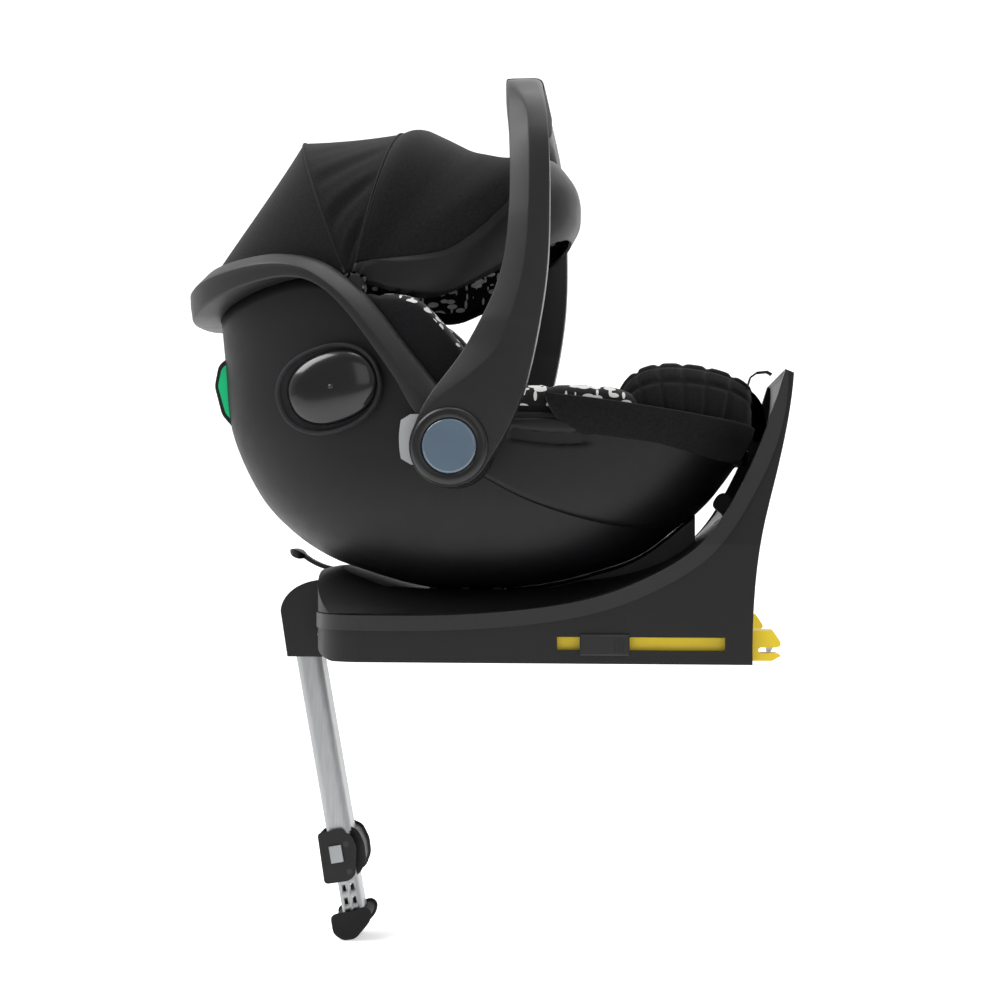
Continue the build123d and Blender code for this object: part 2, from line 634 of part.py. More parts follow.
def front_dome(thick):
    """The canopy's front, from the front bow round to the visor's chin."""
    clear = BOW_THICK / 2 + CLOTH_GAP
    sections = [cloth_face(BOW_FRONT_ANGLE, BOW_FRONT_HALF, BOW_FRONT_R, clear, thick)]
    for angle, reach in FRONT_SECTIONS:
        sections.append(cloth_face(angle, VISOR_HALF, reach, 0.0, thick))
    return loft(sections)


def make_canopy(inner):
    """Pivots, bows, visor and the three cloth panels."""
    clear = BOW_THICK / 2 + CLOTH_GAP
    flange = rod_y(CANOPY_X, CANOPY_Z, BOW_EYE_R, -HULL_HALF_WIDTH, -BOW_REAR_HALF - SLIDE_GAP) & inner
    pivot = as_solid(flange) + rod_y(CANOPY_X, CANOPY_Z, CANOPY_PIN_R, -BOW_REAR_HALF - 1,
                                     -VISOR_HALF + BOW_DEPTH + 1)
    rear = loft([cloth_face(REAR_EDGE_ANGLE, REAR_EDGE_HALF, REAR_EDGE_R),
                 cloth_face(BOW_REAR_ANGLE, BOW_REAR_HALF, BOW_REAR_R, -clear)], ruled=True)
    middle = loft([cloth_face(BOW_REAR_ANGLE, BOW_REAR_HALF, BOW_REAR_R, clear),
                   cloth_face(BOW_FRONT_ANGLE, BOW_FRONT_HALF, BOW_FRONT_R, -clear)], ruled=True)
    crescent = across(outline(VISOR_HIGH, VISOR_LOW), -FAR, FAR)
    visor = as_solid(front_dome(VISOR_THICK) & crescent)
    link = outline([(CANOPY_X, CANOPY_Z - 5), (CANOPY_X + 45, CANOPY_Z - 10)],
                   [(CANOPY_X + 45, CANOPY_Z + 16), (CANOPY_X, CANOPY_Z + 5)])
    for y0, y1 in ((-VISOR_HALF, BOW_DEPTH - VISOR_HALF), (VISOR_HALF - BOW_DEPTH, VISOR_HALF)):
        visor += across(link, y0, y1)
        visor += rod_y(CANOPY_X, CANOPY_Z, BOW_EYE_R, y0, y1)
    visor -= rod_y(CANOPY_X, CANOPY_Z, CANOPY_PIN_R + FIT, -FAR, FAR)
    above = Pos(0, SLIDE_GAP) * outline(VISOR_HIGH, [(20, 700), (-172, 700)])
    front = as_solid(front_dome(CLOTH) & across(above, -FAR, FAR))
    return {"canopy_pivots": both_sides(pivot),
            "canopy_bow_rear": make_bow(BOW_REAR_ANGLE, BOW_REAR_HALF, BOW_REAR_R),
            "canopy_bow_front": make_bow(BOW_FRONT_ANGLE, BOW_FRONT_HALF, BOW_FRONT_R),
            "canopy_visor": as_solid(visor), "canopy_rear_cloth": rear,
            "canopy_middle_cloth": middle, "canopy_front_cloth": front}


# ------------------------------------------------------------------ base
def base_form(grow=0.0):
    """The base's rounded plan and its narrowing top, grown sideways."""
    half = BASE_HALF_WIDTH + grow
    nose = BASE_NOSE_X - grow
    corner = [(nose + 64, -half), (nose + 30, -half + 16), (nose + 6, -half * 0.5), (nose, 0),
              (nose + 6, half * 0.5), (nose + 30, half - 16), (nose + 64, half)]
    plan = outline(corner, [(FAR, half)], [(FAR, -half)])
    top = PANEL_TOP_HALF + grow
    front = outline([(-half, 0)], [(-half, 125)], [(-top, PANEL_TOP_Z)], [(top, PANEL_TOP_Z)],
                    [(half, 125)], [(half, 0)])
    return upright(plan, 0, PANEL_TOP_Z) & along(front, -FAR, FAR)


def trough():
    """The open space between the base's walls, over its floor."""
    rear = beside(REAR_LINE, REAR_WALL)[1:]
    top = [(rear[-1][0] + 4, FAR)]
    face = outline([(-FAR, TROUGH_FLOOR), (rear[0][0], TROUGH_FLOOR)], rear, top, [(-FAR, FAR)])
    return across(face, -FAR, FAR)


def leg_notch():
    """The notch in the nose, and the channel underneath, that the leg folds into."""
    notch = block(-FAR, NOTCH_X, -CHANNEL_HALF, CHANNEL_HALF, -1, NOTCH_TOP)
    channel = block(NOTCH_X - 1, CHANNEL_END_X, -CHANNEL_HALF, CHANNEL_HALF, -1, CHANNEL_DEPTH)
    return notch + channel


def isofix_tunnel():
    """The near arm's tunnel, the connector's mouth and the side slot."""
    y0, y1 = -ARM_OUTER_FACE - SLIDE_GAP, -ARM_INNER_FACE + SLIDE_GAP
    low, high = ARM_Z - ARM_BAR_HIGH / 2, ARM_Z + ARM_BAR_HIGH / 2
    cut = block(ARM_TAIL_X - 4, BASE_END_X + 5, y0, y1, low - SLIDE_GAP, high + SLIDE_GAP)
    centre = -ANCHOR_SPACING / 2
    cut += block(CONNECTOR_BACK_X - 3, BASE_END_X + 5, centre - CONNECTOR_WIDE / 2 - 1,
                 centre + CONNECTOR_WIDE / 2 + 1, CONNECTOR_LOW - 1, CONNECTOR_HIGH + 1)
    cut += block(SLOT_START_X, SLOT_END_X, -BASE_HALF_WIDTH - 1, y0 + 1, low, high)
    return cut


def rib_pockets():
    """The open pockets between the ribs of the base's underside."""
    pockets = []
    for i in range(RIB_COUNT):
        x0 = RIB_START_X + i * RIB_PITCH
        for low, high in RIB_ROWS:
            for y0, y1 in ((low, high), (-high, -low)):
                pockets.append(block(x0, x0 + RIB_PITCH - RIB_THICK, y0, y1, -1, RIB_CEILING))
    return group(*pockets)


def screw_places():
    """Every screw's place on the underside."""
    return [(x, side * y) for x, y in SCREW_SPOTS for side in (-1, 1)]


def make_base(form, walls):
    """The base's lower shell with its rebound panel, the trim band and the screws."""
    tip_x, tip_z = BAND_HIGH[-1]
    low_line = beside(BAND_HIGH, -BAND_HEIGHT)[:-1] + [(tip_x + BAND_TIP, tip_z - BAND_TIP)]
    under = [(-262, 34), (-250, 14), (-222, 0)]
    face = outline(low_line, [(tip_x, tip_z)], REAR_LINE[::-1], under[::-1])
    lower = form & across(face, -FAR, FAR)
    lower -= walls & trough()
    tunnel = isofix_tunnel()
    lower -= leg_notch()
    lower -= tunnel
    lower -= far_side(tunnel)
    lower -= rib_pockets()
    heads = []
    for x, y in screw_places():
        lower -= Pos(x, y, SCREW_HEAD / 2) * Cylinder(SCREW_R + 0.2, SCREW_HEAD + 0.6)
        head = Pos(x, y, SCREW_HEAD / 2 + 0.1) * Cylinder(SCREW_R, SCREW_HEAD)
        heads.append(head - Pos(x, y, 0) * extrude(RegularPolygon(2.2, 6), amount=1.4))
    band = across(outline(BAND_HIGH, low_line[::-1]), -FAR, FAR)
    band &= base_form(BAND_PROUD) - walls
    band -= leg_notch()
    return as_solid(lower), band, group(*heads)


def make_deck():
    """The deck: a crowned top with the cradle that the carrier drops into."""
    half = BASE_HALF_WIDTH - BASE_WALL - DECK_GAP
    sections = []
    for x, edge, crown in DECK_SHAPE:
        rise = crown - edge
        run = [(half, edge), (half * 0.62, edge + rise * 0.7), (0, crown), (-half * 0.62, edge + rise * 0.7),
               (-half, edge)]
        sections.append(Plane.YZ.offset(x) * outline(run, [(-half, DECK_FLOOR)], [(half, DECK_FLOOR)]))
    form = loft(sections)
    deck = form & base_form(-BASE_WALL - DECK_GAP)
    deck += form & base_form() & block(-FAR, BAND_HIGH[1][0], -FAR, FAR, BAND_HIGH[0][1] + DECK_GAP, FAR)
    deck -= hull(CRADLE_GAP, lift=-CRADLE_GAP)
    skin = hull(SEAM, lift=-SEAM)
    for x0, x1 in SADDLE_RIBS:
        deck += (form & block(x0, x1, -SADDLE_HALF, SADDLE_HALF, TROUGH_FLOOR + 10, FAR)) - skin
    deck -= leg_notch()
    deck -= block(-FAR, LEVER_PIVOT_X + 9, -LEVER_SLOT_HALF, LEVER_SLOT_HALF, NOTCH_TOP - 1, 120)
    deck -= rod_y(LEVER_PIVOT_X, LEVER_PIVOT_Z, LEVER_PIN_R, -14, 14)
    (x0, x1), (z0, z1) = LATCH_POCKET
    deck -= block(x0, x1, -LATCH_POCKET_HALF, LATCH_POCKET_HALF, z0, z1)
    deck -= rod_y(LATCH_X, LATCH_Z, LEVER_PIN_R, -18, 18)
    return as_solid(deck)


def make_levers():
    """The release lever, the rear latch and their pins."""
    pin_hole = rod_y(LEVER_PIVOT_X, LEVER_PIVOT_Z, LEVER_PIN_R + FIT, -FAR, FAR)
    stem = outline(LEVER_STEM, beside(LEVER_STEM, LEVER_STEM_THICK)[::-1])
    lever = across(stem, -LEVER_HALF, LEVER_HALF)
    lever += rod_y(LEVER_PIVOT_X, LEVER_PIVOT_Z, LEVER_BOSS_R, -LEVER_HALF, LEVER_HALF)
    bowl = Pos(SPOON_X, SPOON_Z) * Rot(0, 0, SPOON_TILT) * Ellipse(SPOON_LONG, SPOON_THICK)
    plan = Pos(SPOON_X, 0) * Ellipse(SPOON_LONG, SPOON_HALF)
    spoon = across(bowl, -SPOON_HALF, SPOON_HALF) & upright(plan, 0, FAR)
    lever = as_solid((lever + spoon) - pin_hole)
    latch = across(outline(LATCH_FACE), -LATCH_HALF, LATCH_HALF)
    latch += rod_y(LATCH_X, LATCH_Z, LEVER_BOSS_R + 0.5, -LATCH_HALF, LATCH_HALF)
    latch -= rod_y(LATCH_X, LATCH_Z, LEVER_PIN_R + FIT, -FAR, FAR)
    pins = group(rod_y(LEVER_PIVOT_X, LEVER_PIVOT_Z, LEVER_PIN_R, -14, 14),
                 rod_y(LATCH_X, LATCH_Z, LEVER_PIN_R, -18, 18))
    return lever, as_solid(latch), pins


# ------------------------------------------------------------------ support leg
def leg_place():
    """The leg's own frame: its origin at the knuckle's mouth, Z up along the tube."""
    tilt = math.radians(LEG_TILT)
    return Plane(origin=(LEG_TOP_X, 0, LEG_TOP_Z), x_dir=(math.cos(tilt), 0, math.sin(tilt)),
                 z_dir=(-math.sin(tilt), 0, math.cos(tilt))).location


def leg_bar(inset, top, bottom):
    """A rounded bar of the leg's section, thinned on every side."""
    face = RectangleRounded(LEG_DEEP - 2 * inset, LEG_WIDE - 2 * inset, LEG_CORNER - inset / 2)
    return leg_place() * upright(face, bottom, top)


def make_leg():
    """The knuckle, outer tube, clamp with its key, inner tube and foot."""
    knuckle = across(outline(KNUCKLE_TOP, KNUCKLE_LOW[:2], KNUCKLE_LOW[2:]), -KNUCKLE_HALF, KNUCKLE_HALF)
    knuckle -= leg_bar(0.0, LEG_SOCKET, -FAR)
    knuckle -= rod_y(LEG_PIVOT_X, LEG_PIVOT_Z, LEG_PIN_R + FIT, -FAR, FAR)
    outer = leg_bar(0.0, LEG_SOCKET, -LEG_TUBE) - leg_bar(LEG_WALL, LEG_SOCKET + 1, -LEG_TUBE - 1)
    slip = LEG_WALL + SLIDE_GAP / 2
    inner = leg_bar(slip, -LEG_INNER_START, -LEG_INNER_END)
    inner -= leg_bar(slip + LEG_WALL, -LEG_INNER_START + 1, -LEG_INNER_END - 1)
    holes = []
    for i in range(LEG_HOLE_COUNT):
        for x in (-5.0, 5.0):
            z = -LEG_INNER_END + 22 + i * LEG_HOLE_PITCH
            hole = Pos(x, 0, z) * Box(LEG_HOLE[0], FAR, LEG_HOLE[1])
            holes.append(leg_place() * hole)
    inner -= group(*holes)
    clamp = across(outline(CLAMP_FACE + [CLAMP_FACE[0]]), -CLAMP_HALF, CLAMP_HALF)
    clamp -= leg_bar(0.0, 0, -LEG_TUBE)
    clamp -= leg_bar(slip - SLIDE_GAP / 2, 0, -FAR)
    wide, high, deep = LEG_KEY
    key_z = -LEG_TUBE - 22
    key_y = -CLAMP_HALF - LEG_KEY_STROKE
    pocket = Pos(-5, -CLAMP_HALF, key_z) * Box(wide + 0.8, 2 * deep + 0.8, high + 0.8)
    clamp -= leg_place() * pocket
    key = leg_place() * (Pos(-5, key_y + deep / 2, key_z) * Box(wide, deep, high))
    foot = across(outline(FOOT_FACE + [FOOT_FACE[0]]), -FOOT_HALF, FOOT_HALF)
    foot -= leg_bar(slip, 0, -LEG_INNER_END)
    pin = rod_y(LEG_PIVOT_X, LEG_PIVOT_Z, LEG_PIN_R, -EAR_OUTER, EAR_OUTER)
    ear = across(outline(*[[point] for point in EAR_FACE]), -EAR_OUTER, -EAR_INNER)
    ear += rod_y(LEG_PIVOT_X, LEG_PIVOT_Z, EAR_R, -EAR_OUTER, -EAR_INNER)
    ear -= rod_y(LEG_PIVOT_X, LEG_PIVOT_Z, LEG_PIN_R, -FAR, FAR)
    return {"leg_knuckle": as_solid(knuckle), "leg_outer_tube": outer, "leg_inner_tube": as_solid(inner),
            "leg_clamp": as_solid(clamp), "leg_clamp_key": key, "leg_foot": as_solid(foot),
            "leg_hinge_pin": pin, "leg_bracket": both_sides(ear)}


# ------------------------------------------------------------------ ISOFIX arms
def make_isofix():
    """The near arm, its connector, hook and release slider."""
    centre = -ANCHOR_SPACING / 2
    arm = block(ARM_TAIL_X, CONNECTOR_BACK_X, -ARM_OUTER_FACE, -ARM_INNER_FACE,
                ARM_Z - ARM_BAR_HIGH / 2, ARM_Z + ARM_BAR_HIGH / 2)
    half_gap = ANCHOR_BAR_D / 2 + FIT
    low, high = CONNECTOR_LOW, CONNECTOR_HIGH
    tip = CONNECTOR_TIP_X
    face = outline([(CONNECTOR_BACK_X, low), (tip - 9, low)], [(tip, low + 5)],
                   [(tip, ANCHOR_Z - half_gap - 2)], [(tip - 4, ANCHOR_Z - half_gap)],
                   [(ANCHOR_X, ANCHOR_Z - half_gap)], [(ANCHOR_X, ANCHOR_Z + half_gap)],
                   [(tip - 4, ANCHOR_Z + half_gap)], [(tip, ANCHOR_Z + half_gap + 2)],
                   [(tip, high - 12)], [(tip - 8, high)], [(CONNECTOR_BACK_X, high)])
    face -= Pos(ANCHOR_X, ANCHOR_Z) * Circle(half_gap)
    connector = across(face, centre - CONNECTOR_WIDE / 2, centre + CONNECTOR_WIDE / 2)
    slot = HOOK_THICK / 2 + 0.3
    connector -= block(HOOK_PIVOT_X - 8, tip + 1, centre - slot, centre + slot, 8, high + 1)
    connector += rod_y(HOOK_PIVOT_X, HOOK_PIVOT_Z, HOOK_PIN_R, centre - slot - 1, centre + slot + 1)
    hook = across(outline([HOOK_FACE[0]], HOOK_FACE[1:3], HOOK_FACE[3:5], [HOOK_FACE[5]],
                          [HOOK_FACE[6]], [HOOK_FACE[7]], [HOOK_FACE[8]]),
                  centre - HOOK_THICK / 2, centre + HOOK_THICK / 2)
    hook += rod_y(HOOK_PIVOT_X, HOOK_PIVOT_Z, HOOK_BOSS_R, centre - HOOK_THICK / 2,
                  centre + HOOK_THICK / 2)
    hook -= rod_y(HOOK_PIVOT_X, HOOK_PIVOT_Z, HOOK_PIN_R + FIT, -FAR, FAR)
    x0, x1 = SLIDER_START_X, SLIDER_START_X + SLIDER_LENGTH
    wall = BASE_HALF_WIDTH
    slider = block(x0 + 6, x1 - 6, -wall - 1, -ARM_OUTER_FACE - SLIDE_GAP / 2,
                   ARM_Z - ARM_BAR_HIGH / 2 + SLIDE_GAP, ARM_Z + ARM_BAR_HIGH / 2 - SLIDE_GAP)
    plate = block(x0, x1, -wall - SLIDER_PROUD, -wall - SLIDE_GAP, SLIDER_LOW, SLIDER_HIGH)
    plate = chamfer(plate.faces().sort_by(Axis.Y)[0].edges(), 1.6)
    slider += plate
    for i in range(3):
        x = x0 + 36 + i * 4
        slider -= block(x, x + 1.6, -wall - SLIDER_PROUD - 1, -wall - SLIDER_PROUD + 0.8,
                        SLIDER_LOW + 4, SLIDER_HIGH - 4)
    return {"isofix_arm": arm, "isofix_connector": as_solid(connector), "isofix_hook": as_solid(hook),
            "isofix_slider": as_solid(slider)}


# ------------------------------------------------------------------ the whole seat
def make_all():
    """Every node of the seat, by name."""
    outer = hull()
    skin = hull(SEAM)
    inner = hull(-SHELL_WALL, lift=SHELL_WALL)
    nodes = {}
    nodes["carrier_shell"], nodes["carrier_rim"] = make_shell_and_rim(outer, inner)
    nodes["foam_body"] = make_foam()
    nodes["belt_guide_hook"], nodes["belt_guide_liner"] = make_belt_guide(skin)
    bezel, cover = make_pod(skin)
    paired = {"side_panel": make_side_panel(skin), "hub_mount": make_hub_mount(skin),
              "pod_bezel": bezel, "pod_cover": cover, "handle_button": make_handle_button()}
    paired.update(make_isofix())
    for name, piece in paired.items():
        nodes[name + "_left"] = piece
        nodes[name + "_right"] = far_side(piece)
    nodes["back_pad"], nodes["headrest"], nodes["foot_cushion"] = make_pads()
    nodes["harness_straps"], nodes["buckle_body"], nodes["buckle_button"] = make_harness()
    nodes["adjuster_housing"], nodes["adjuster_button"], nodes["adjuster_strap"] = make_adjuster()
    nodes["handle_frame"], nodes["handle_grip"], nodes["hub_caps"], nodes["hub_discs"] = make_handle()
    nodes.update(make_canopy(inner))
    form, walls = base_form(), base_form(-BASE_WALL)
    nodes["base_lower_shell"], nodes["base_trim_band"], nodes["base_screws"] = make_base(form, walls)
    nodes["base_deck"] = make_deck()
    nodes["release_lever"], nodes["rear_latch"], nodes["lever_pins"] = make_levers()
    nodes.update(make_leg())
    return nodes


os.makedirs("parts", exist_ok=True)
to_anchors = Location((-ANCHOR_X, 0, -ANCHOR_Z))
for node, shape in make_all().items():
    export_step(shape.moved(to_anchors), "parts/" + node + ".step")
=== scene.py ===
"""The looks of an infant car seat on its ISOFIX base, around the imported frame."""
import json
import math

import bpy
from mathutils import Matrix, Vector, noise


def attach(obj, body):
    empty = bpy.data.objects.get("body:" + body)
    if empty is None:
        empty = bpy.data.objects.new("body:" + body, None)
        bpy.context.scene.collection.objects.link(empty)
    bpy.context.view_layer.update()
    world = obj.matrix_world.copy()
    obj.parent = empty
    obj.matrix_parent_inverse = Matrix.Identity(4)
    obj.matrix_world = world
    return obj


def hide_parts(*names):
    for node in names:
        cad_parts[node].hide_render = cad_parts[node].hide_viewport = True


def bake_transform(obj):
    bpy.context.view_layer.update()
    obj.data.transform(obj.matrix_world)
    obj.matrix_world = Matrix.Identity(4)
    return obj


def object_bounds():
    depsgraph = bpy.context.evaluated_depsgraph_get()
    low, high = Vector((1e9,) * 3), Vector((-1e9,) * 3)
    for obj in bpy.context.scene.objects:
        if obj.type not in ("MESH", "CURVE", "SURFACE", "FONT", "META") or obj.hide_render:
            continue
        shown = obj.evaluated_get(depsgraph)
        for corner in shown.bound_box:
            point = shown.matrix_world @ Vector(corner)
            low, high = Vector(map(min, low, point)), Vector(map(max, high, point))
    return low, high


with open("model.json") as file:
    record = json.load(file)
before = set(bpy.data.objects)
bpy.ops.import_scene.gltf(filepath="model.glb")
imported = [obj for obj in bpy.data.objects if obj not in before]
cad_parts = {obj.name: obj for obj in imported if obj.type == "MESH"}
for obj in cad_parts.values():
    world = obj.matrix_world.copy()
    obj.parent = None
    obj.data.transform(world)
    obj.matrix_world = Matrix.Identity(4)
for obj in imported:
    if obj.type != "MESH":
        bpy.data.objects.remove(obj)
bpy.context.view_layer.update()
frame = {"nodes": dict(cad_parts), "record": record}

# ---------------- units and places
# Everything below is in millimetres from the middle of the base's underside, as the part's
# own drawing is; at() brings a point into the frame, whose origin is on the anchor bars.
ANCHOR_X = 231.0
ANCHOR_Z = 14.0
NEAR, FAR = -1, 1
SIDES = {"left": NEAR, "right": FAR}

HULL_X = -90.0
HULL_BOTTOM = 72.0
HULL_BACK = 287.0
HULL_FRONT = 330.0
HULL_HEIGHT = 363.0
HULL_HALF = 179.0
HULL_SQUARE = 2.7
# level, reach back, reach forward and half width, as shares of the sizes above
HULL_SHAPE = [
    (0.000, 0.139, 0.119, 0.251), (0.019, 0.244, 0.283, 0.480), (0.050, 0.373, 0.423, 0.637),
    (0.099, 0.544, 0.577, 0.754), (0.182, 0.700, 0.705, 0.849), (0.298, 0.829, 0.842, 0.922),
    (0.490, 0.937, 0.970, 0.966), (0.711, 0.965, 0.988, 0.989), (1.000, 1.000, 1.000, 1.000)]
RIM_LOW = [(-430, 356), (-369, 373), (-340, 386), (-294, 401), (-248, 408), (-215, 398),
           (-183, 366), (-141, 304), (-108, 252)]
RIM_HIGH = [(-440, 406), (-415, 413), (-360, 428), (-312, 434), (-281, 434), (-248, 427), (-221, 412),
            (-187, 383), (-137, 323), (-105, 285), (-80, 258)]
SHELL_TOP_FOOT = [(-62, 262), (20, 262), (110, 252), (190, 240), (262, 228)]
RIM_END_X = -74.0
RIM_SIDE_FLARE = 18.0
RIM_BACK_FLARE = 32.0
PANEL_LOW = [(-62, 198), (-8, 170), (64, 148), (126, 143), (176, 158), (214, 196)]
PANEL_HIGH = [(-62, 256), (20, 256), (110, 246), (190, 234), (214, 228)]
PANEL_RAISE = 3.0

HUB_X, HUB_Z, HUB_R = -89.0, 226.0, 42.0
ARM_OUTER = 222.0
GRIP_HALF = 82.0
GRIP_SKIN = 1.2
ARM_BACK = [(-128, 241), (-112, 276), (-72, 332), (-40, 400), (-30, 470), (-32, 560), (-47, 650)]
ARM_FRONT = [(-54, 203), (-28, 246), (-8, 300), (9, 390), (13, 470), (9, 560), (-8, 650)]
ARCH_OUTER = [(222, 170), (222, 330), (221.5, 370), (213, 474), (186, 562), (124, 622), (0, 646)]
ARCH_INNER = [(200.4, 170), (200.4, 330), (199.9, 370), (192.4, 468), (168.4, 542), (114.4, 592), (0, 614)]

PIVOT_X, PIVOT_Z = -203.0, 400.0
BOW_SQUARE = 2.5
# angle about the canopy's pivot, reach and half width of the cloth, from back to front
REAR_EDGE = (173.0, 181.0, 151.0)
REAR_BOW = (111.6, 191.5, 160.0)
FRONT_BOW = (76.8, 192.5, 156.0)
DOME = [(76.8, 192.5), (74, 200.5), (70, 205), (66, 205), (58, 206.5), (54, 209), (50, 216), (46, 224.5),
        (43, 235), (40, 247), (37, 256), (30, 261), (26, 260), (22, 253.5), (18, 243), (5, 196), (-6, 150),
        (-18, 104)]
DOME_HALF = 148.0
DOME_END = -18.0
VISOR_HIGH = [(-230, 423), (-191, 425), (-166, 427), (-129, 431), (-97, 439), (-59, 469), (-27, 508),
              (-8, 552), (10, 600)]
VISOR_LOW = [(-230, 402), (-190, 402), (-166, 396), (-128, 388), (-96, 396), (-44, 423), (25, 466),
             (60, 490)]


def at(x, y, z):
    """A point of the drawing, in the frame's metres."""
    return Vector(((x - ANCHOR_X) / 1000, y / 1000, (z - ANCHOR_Z) / 1000))


# ---------------- curves
def smooth_line(points, count):
    """Points evenly placed by parameter on a Catmull-Rom curve through the given ones."""
    out = []
    last = len(points) - 1
    for i in range(count):
        u = i / (count - 1) * last
        k = min(int(u), last - 1)
        t = u - k
        p = [points[max(0, min(last, k + j))] for j in (-1, 0, 1, 2)]
        out.append(tuple(
            0.5 * (2 * b + (c - a) * t + (2 * a - 5 * b + 4 * c - d) * t * t
                   + (3 * b - a - 3 * c + d) * t ** 3)
            for a, b, c, d in zip(*p)))
    return out


class Profile:
    """A smooth height over one coordinate, such as Z over X."""

    def __init__(self, points, count=160):
        self.line = sorted(smooth_line(sorted(points), count))

    def __call__(self, x):
        line = self.line
        if x <= line[0][0]:
            return line[0][1]
        low, high = 0, len(line) - 1
        if x >= line[high][0]:
            return line[high][1]
        while high - low > 1:
            mid = (low + high) // 2
            if line[mid][0] <= x:
                low = mid
            else:
                high = mid
        (x0, z0), (x1, z1) = line[low], line[high]
        return z0 + (z1 - z0) * (x - x0) / max(x1 - x0, 1e-6)


def ease(t):
    """A smooth step from 0 to 1."""
    t = max(0.0, min(1.0, t))
    return t * t * (3 - 2 * t)


def turns(count):
    """Even turns round a full circle."""
    return [2 * math.pi * i / count for i in range(count)]


# ---------------- meshes
TUBE_SIDES = 10


def mesh_object(name, points, faces, material, body=None, smooth=True):
    """A mesh from drawing points, ready to ride on a body."""
    mesh = bpy.data.meshes.new(name)
    mesh.from_pydata([at(*p) for p in points], [], faces)
    mesh.validate()
    mesh.update()
    obj = bpy.data.objects.new(name, mesh)
    bpy.context.collection.objects.link(obj)
    mesh.materials.append(material)
    for face in mesh.polygons:
        face.use_smooth = smooth
    if body:
        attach(obj, body)
    return obj


def grid(rows, wrap_columns=False):
    """Points and faces of a grid given as rows of points."""
    wide = len(rows[0])
    points = [p for row in rows for p in row]
    faces = []
    for i in range(len(rows) - 1):
        a, b = i * wide, (i + 1) * wide
        for j in range(wide if wrap_columns else wide - 1):
            k = (j + 1) % wide
            faces.append((a + j, a + k, b + k, b + j))
    return points, faces


def flipped(faces):
    """The same faces seen from their other side."""
    return [tuple(reversed(face)) for face in faces]


def sweep(name, rings, material, body, turned=False, smooth=True):
    """A closed form through rings of points, its faces turned over where asked."""
    points, faces = grid(rings, wrap_columns=True)
    wide = len(rings[0])
    faces.append(tuple(range(wide)))
    faces.append(tuple(reversed(range(len(points) - wide, len(points)))))
    return mesh_object(name, points, flipped(faces) if turned else faces, material, body, smooth)


def modify(obj, kind, **settings):
    """Add a modifier with its settings."""
    modifier = obj.modifiers.new(kind.lower(), kind)
    for key, value in settings.items():
        setattr(modifier, key, value)
    return modifier


def subdivide(obj, rendered=1):
    """Smooth a mesh by subdivision."""
    return modify(obj, "SUBSURF", levels=1, render_levels=rendered)


def tube(name, path, radius, material, body):
    """A round tube along a path of drawing points."""
    rings = []
    up = Vector((0, 0, 1))
    for i, p in enumerate(path):
        before, after = path[max(i - 1, 0)], path[min(i + 1, len(path) - 1)]
        run = (Vector(after) - Vector(before)).normalized()
        side = run.cross(up)
        side = side.normalized() if side.length > 1e-3 else Vector((1, 0, 0))
        over = side.cross(run)
        rings.append([tuple(Vector(p) + side * math.cos(a) * radius + over * math.sin(a) * radius)
                      for a in turns(TUBE_SIDES)])
    return sweep(name, rings, material, body)


# ---------------- materials
class Look:
    """A Principled material with its procedural nodes."""

    def __init__(self, name, colour, roughness, **settings):
        self.material = bpy.data.materials.new(name)
        self.material.use_nodes = True
        self.nodes = self.material.node_tree.nodes
        self.links = self.material.node_tree.links
        self.shader = self.nodes["Principled BSDF"]
        self.shader.inputs["Base Color"].default_value = (*colour, 1)
        self.shader.inputs["Roughness"].default_value = roughness
        for key, value in settings.items():
            self.shader.inputs[key.replace("_", " ")].default_value = value
        self.place = self.nodes.new("ShaderNodeTexCoord").outputs["Object"]

    def node(self, kind, settings=None, **inputs):
        """Add a node; an input is a number or another node's output."""
        made = self.nodes.new("ShaderNode" + kind)
        for key, value in (settings or {}).items():
            setattr(made, key, value)
        for key, value in inputs.items():
            socket = made.inputs[int(key[1:])] if key[0] == "i" and key[1:].isdigit() else made.inputs[key]
            if isinstance(value, bpy.types.NodeSocket):
                self.links.new(value, socket)
            else:
                socket.default_value = value
        return made

    def stretched(self, x, y, z, turn=0.0):
        """Object coordinates scaled along each axis."""
        made = self.node("Mapping", Vector=self.place)
        made.inputs["Scale"].default_value = (x, y, z)
        made.inputs["Rotation"].default_value = (0, turn, 0)
        return made.outputs["Vector"]

    def noise(self, scale, detail=3.0, vector=None):
        made = self.node("TexNoise", Vector=vector or self.place, Scale=scale, Detail=detail)
        return made.outputs["Fac"]

    def mix(self, factor, low, high):
        """A colour between two, by a factor between 0.3 and 0.7."""
        ramp = self.node("ValToRGB", Fac=factor)
        ramp.color_ramp.elements[0].position = 0.3
        ramp.color_ramp.elements[1].position = 0.7
        ramp.color_ramp.elements[0].color = (*low, 1)
        ramp.color_ramp.elements[1].color = (*high, 1)
        return ramp.outputs["Color"]

    def colour(self, output):
        self.links.new(output, self.shader.inputs["Base Color"])

    def vary_roughness(self, factor, low, high):
        spread = self.node("MapRange", Value=factor)
        spread.inputs["To Min"].default_value = low
        spread.inputs["To Max"].default_value = high
        self.links.new(spread.outputs["Result"], self.shader.inputs["Roughness"])

    def bump(self, height, strength, distance):
        made = self.node("Bump", Height=height, Strength=strength, Distance=distance)
        self.links.new(made.outputs["Normal"], self.shader.inputs["Normal"])


def tinted(colour, share):
    return tuple(c * share for c in colour)


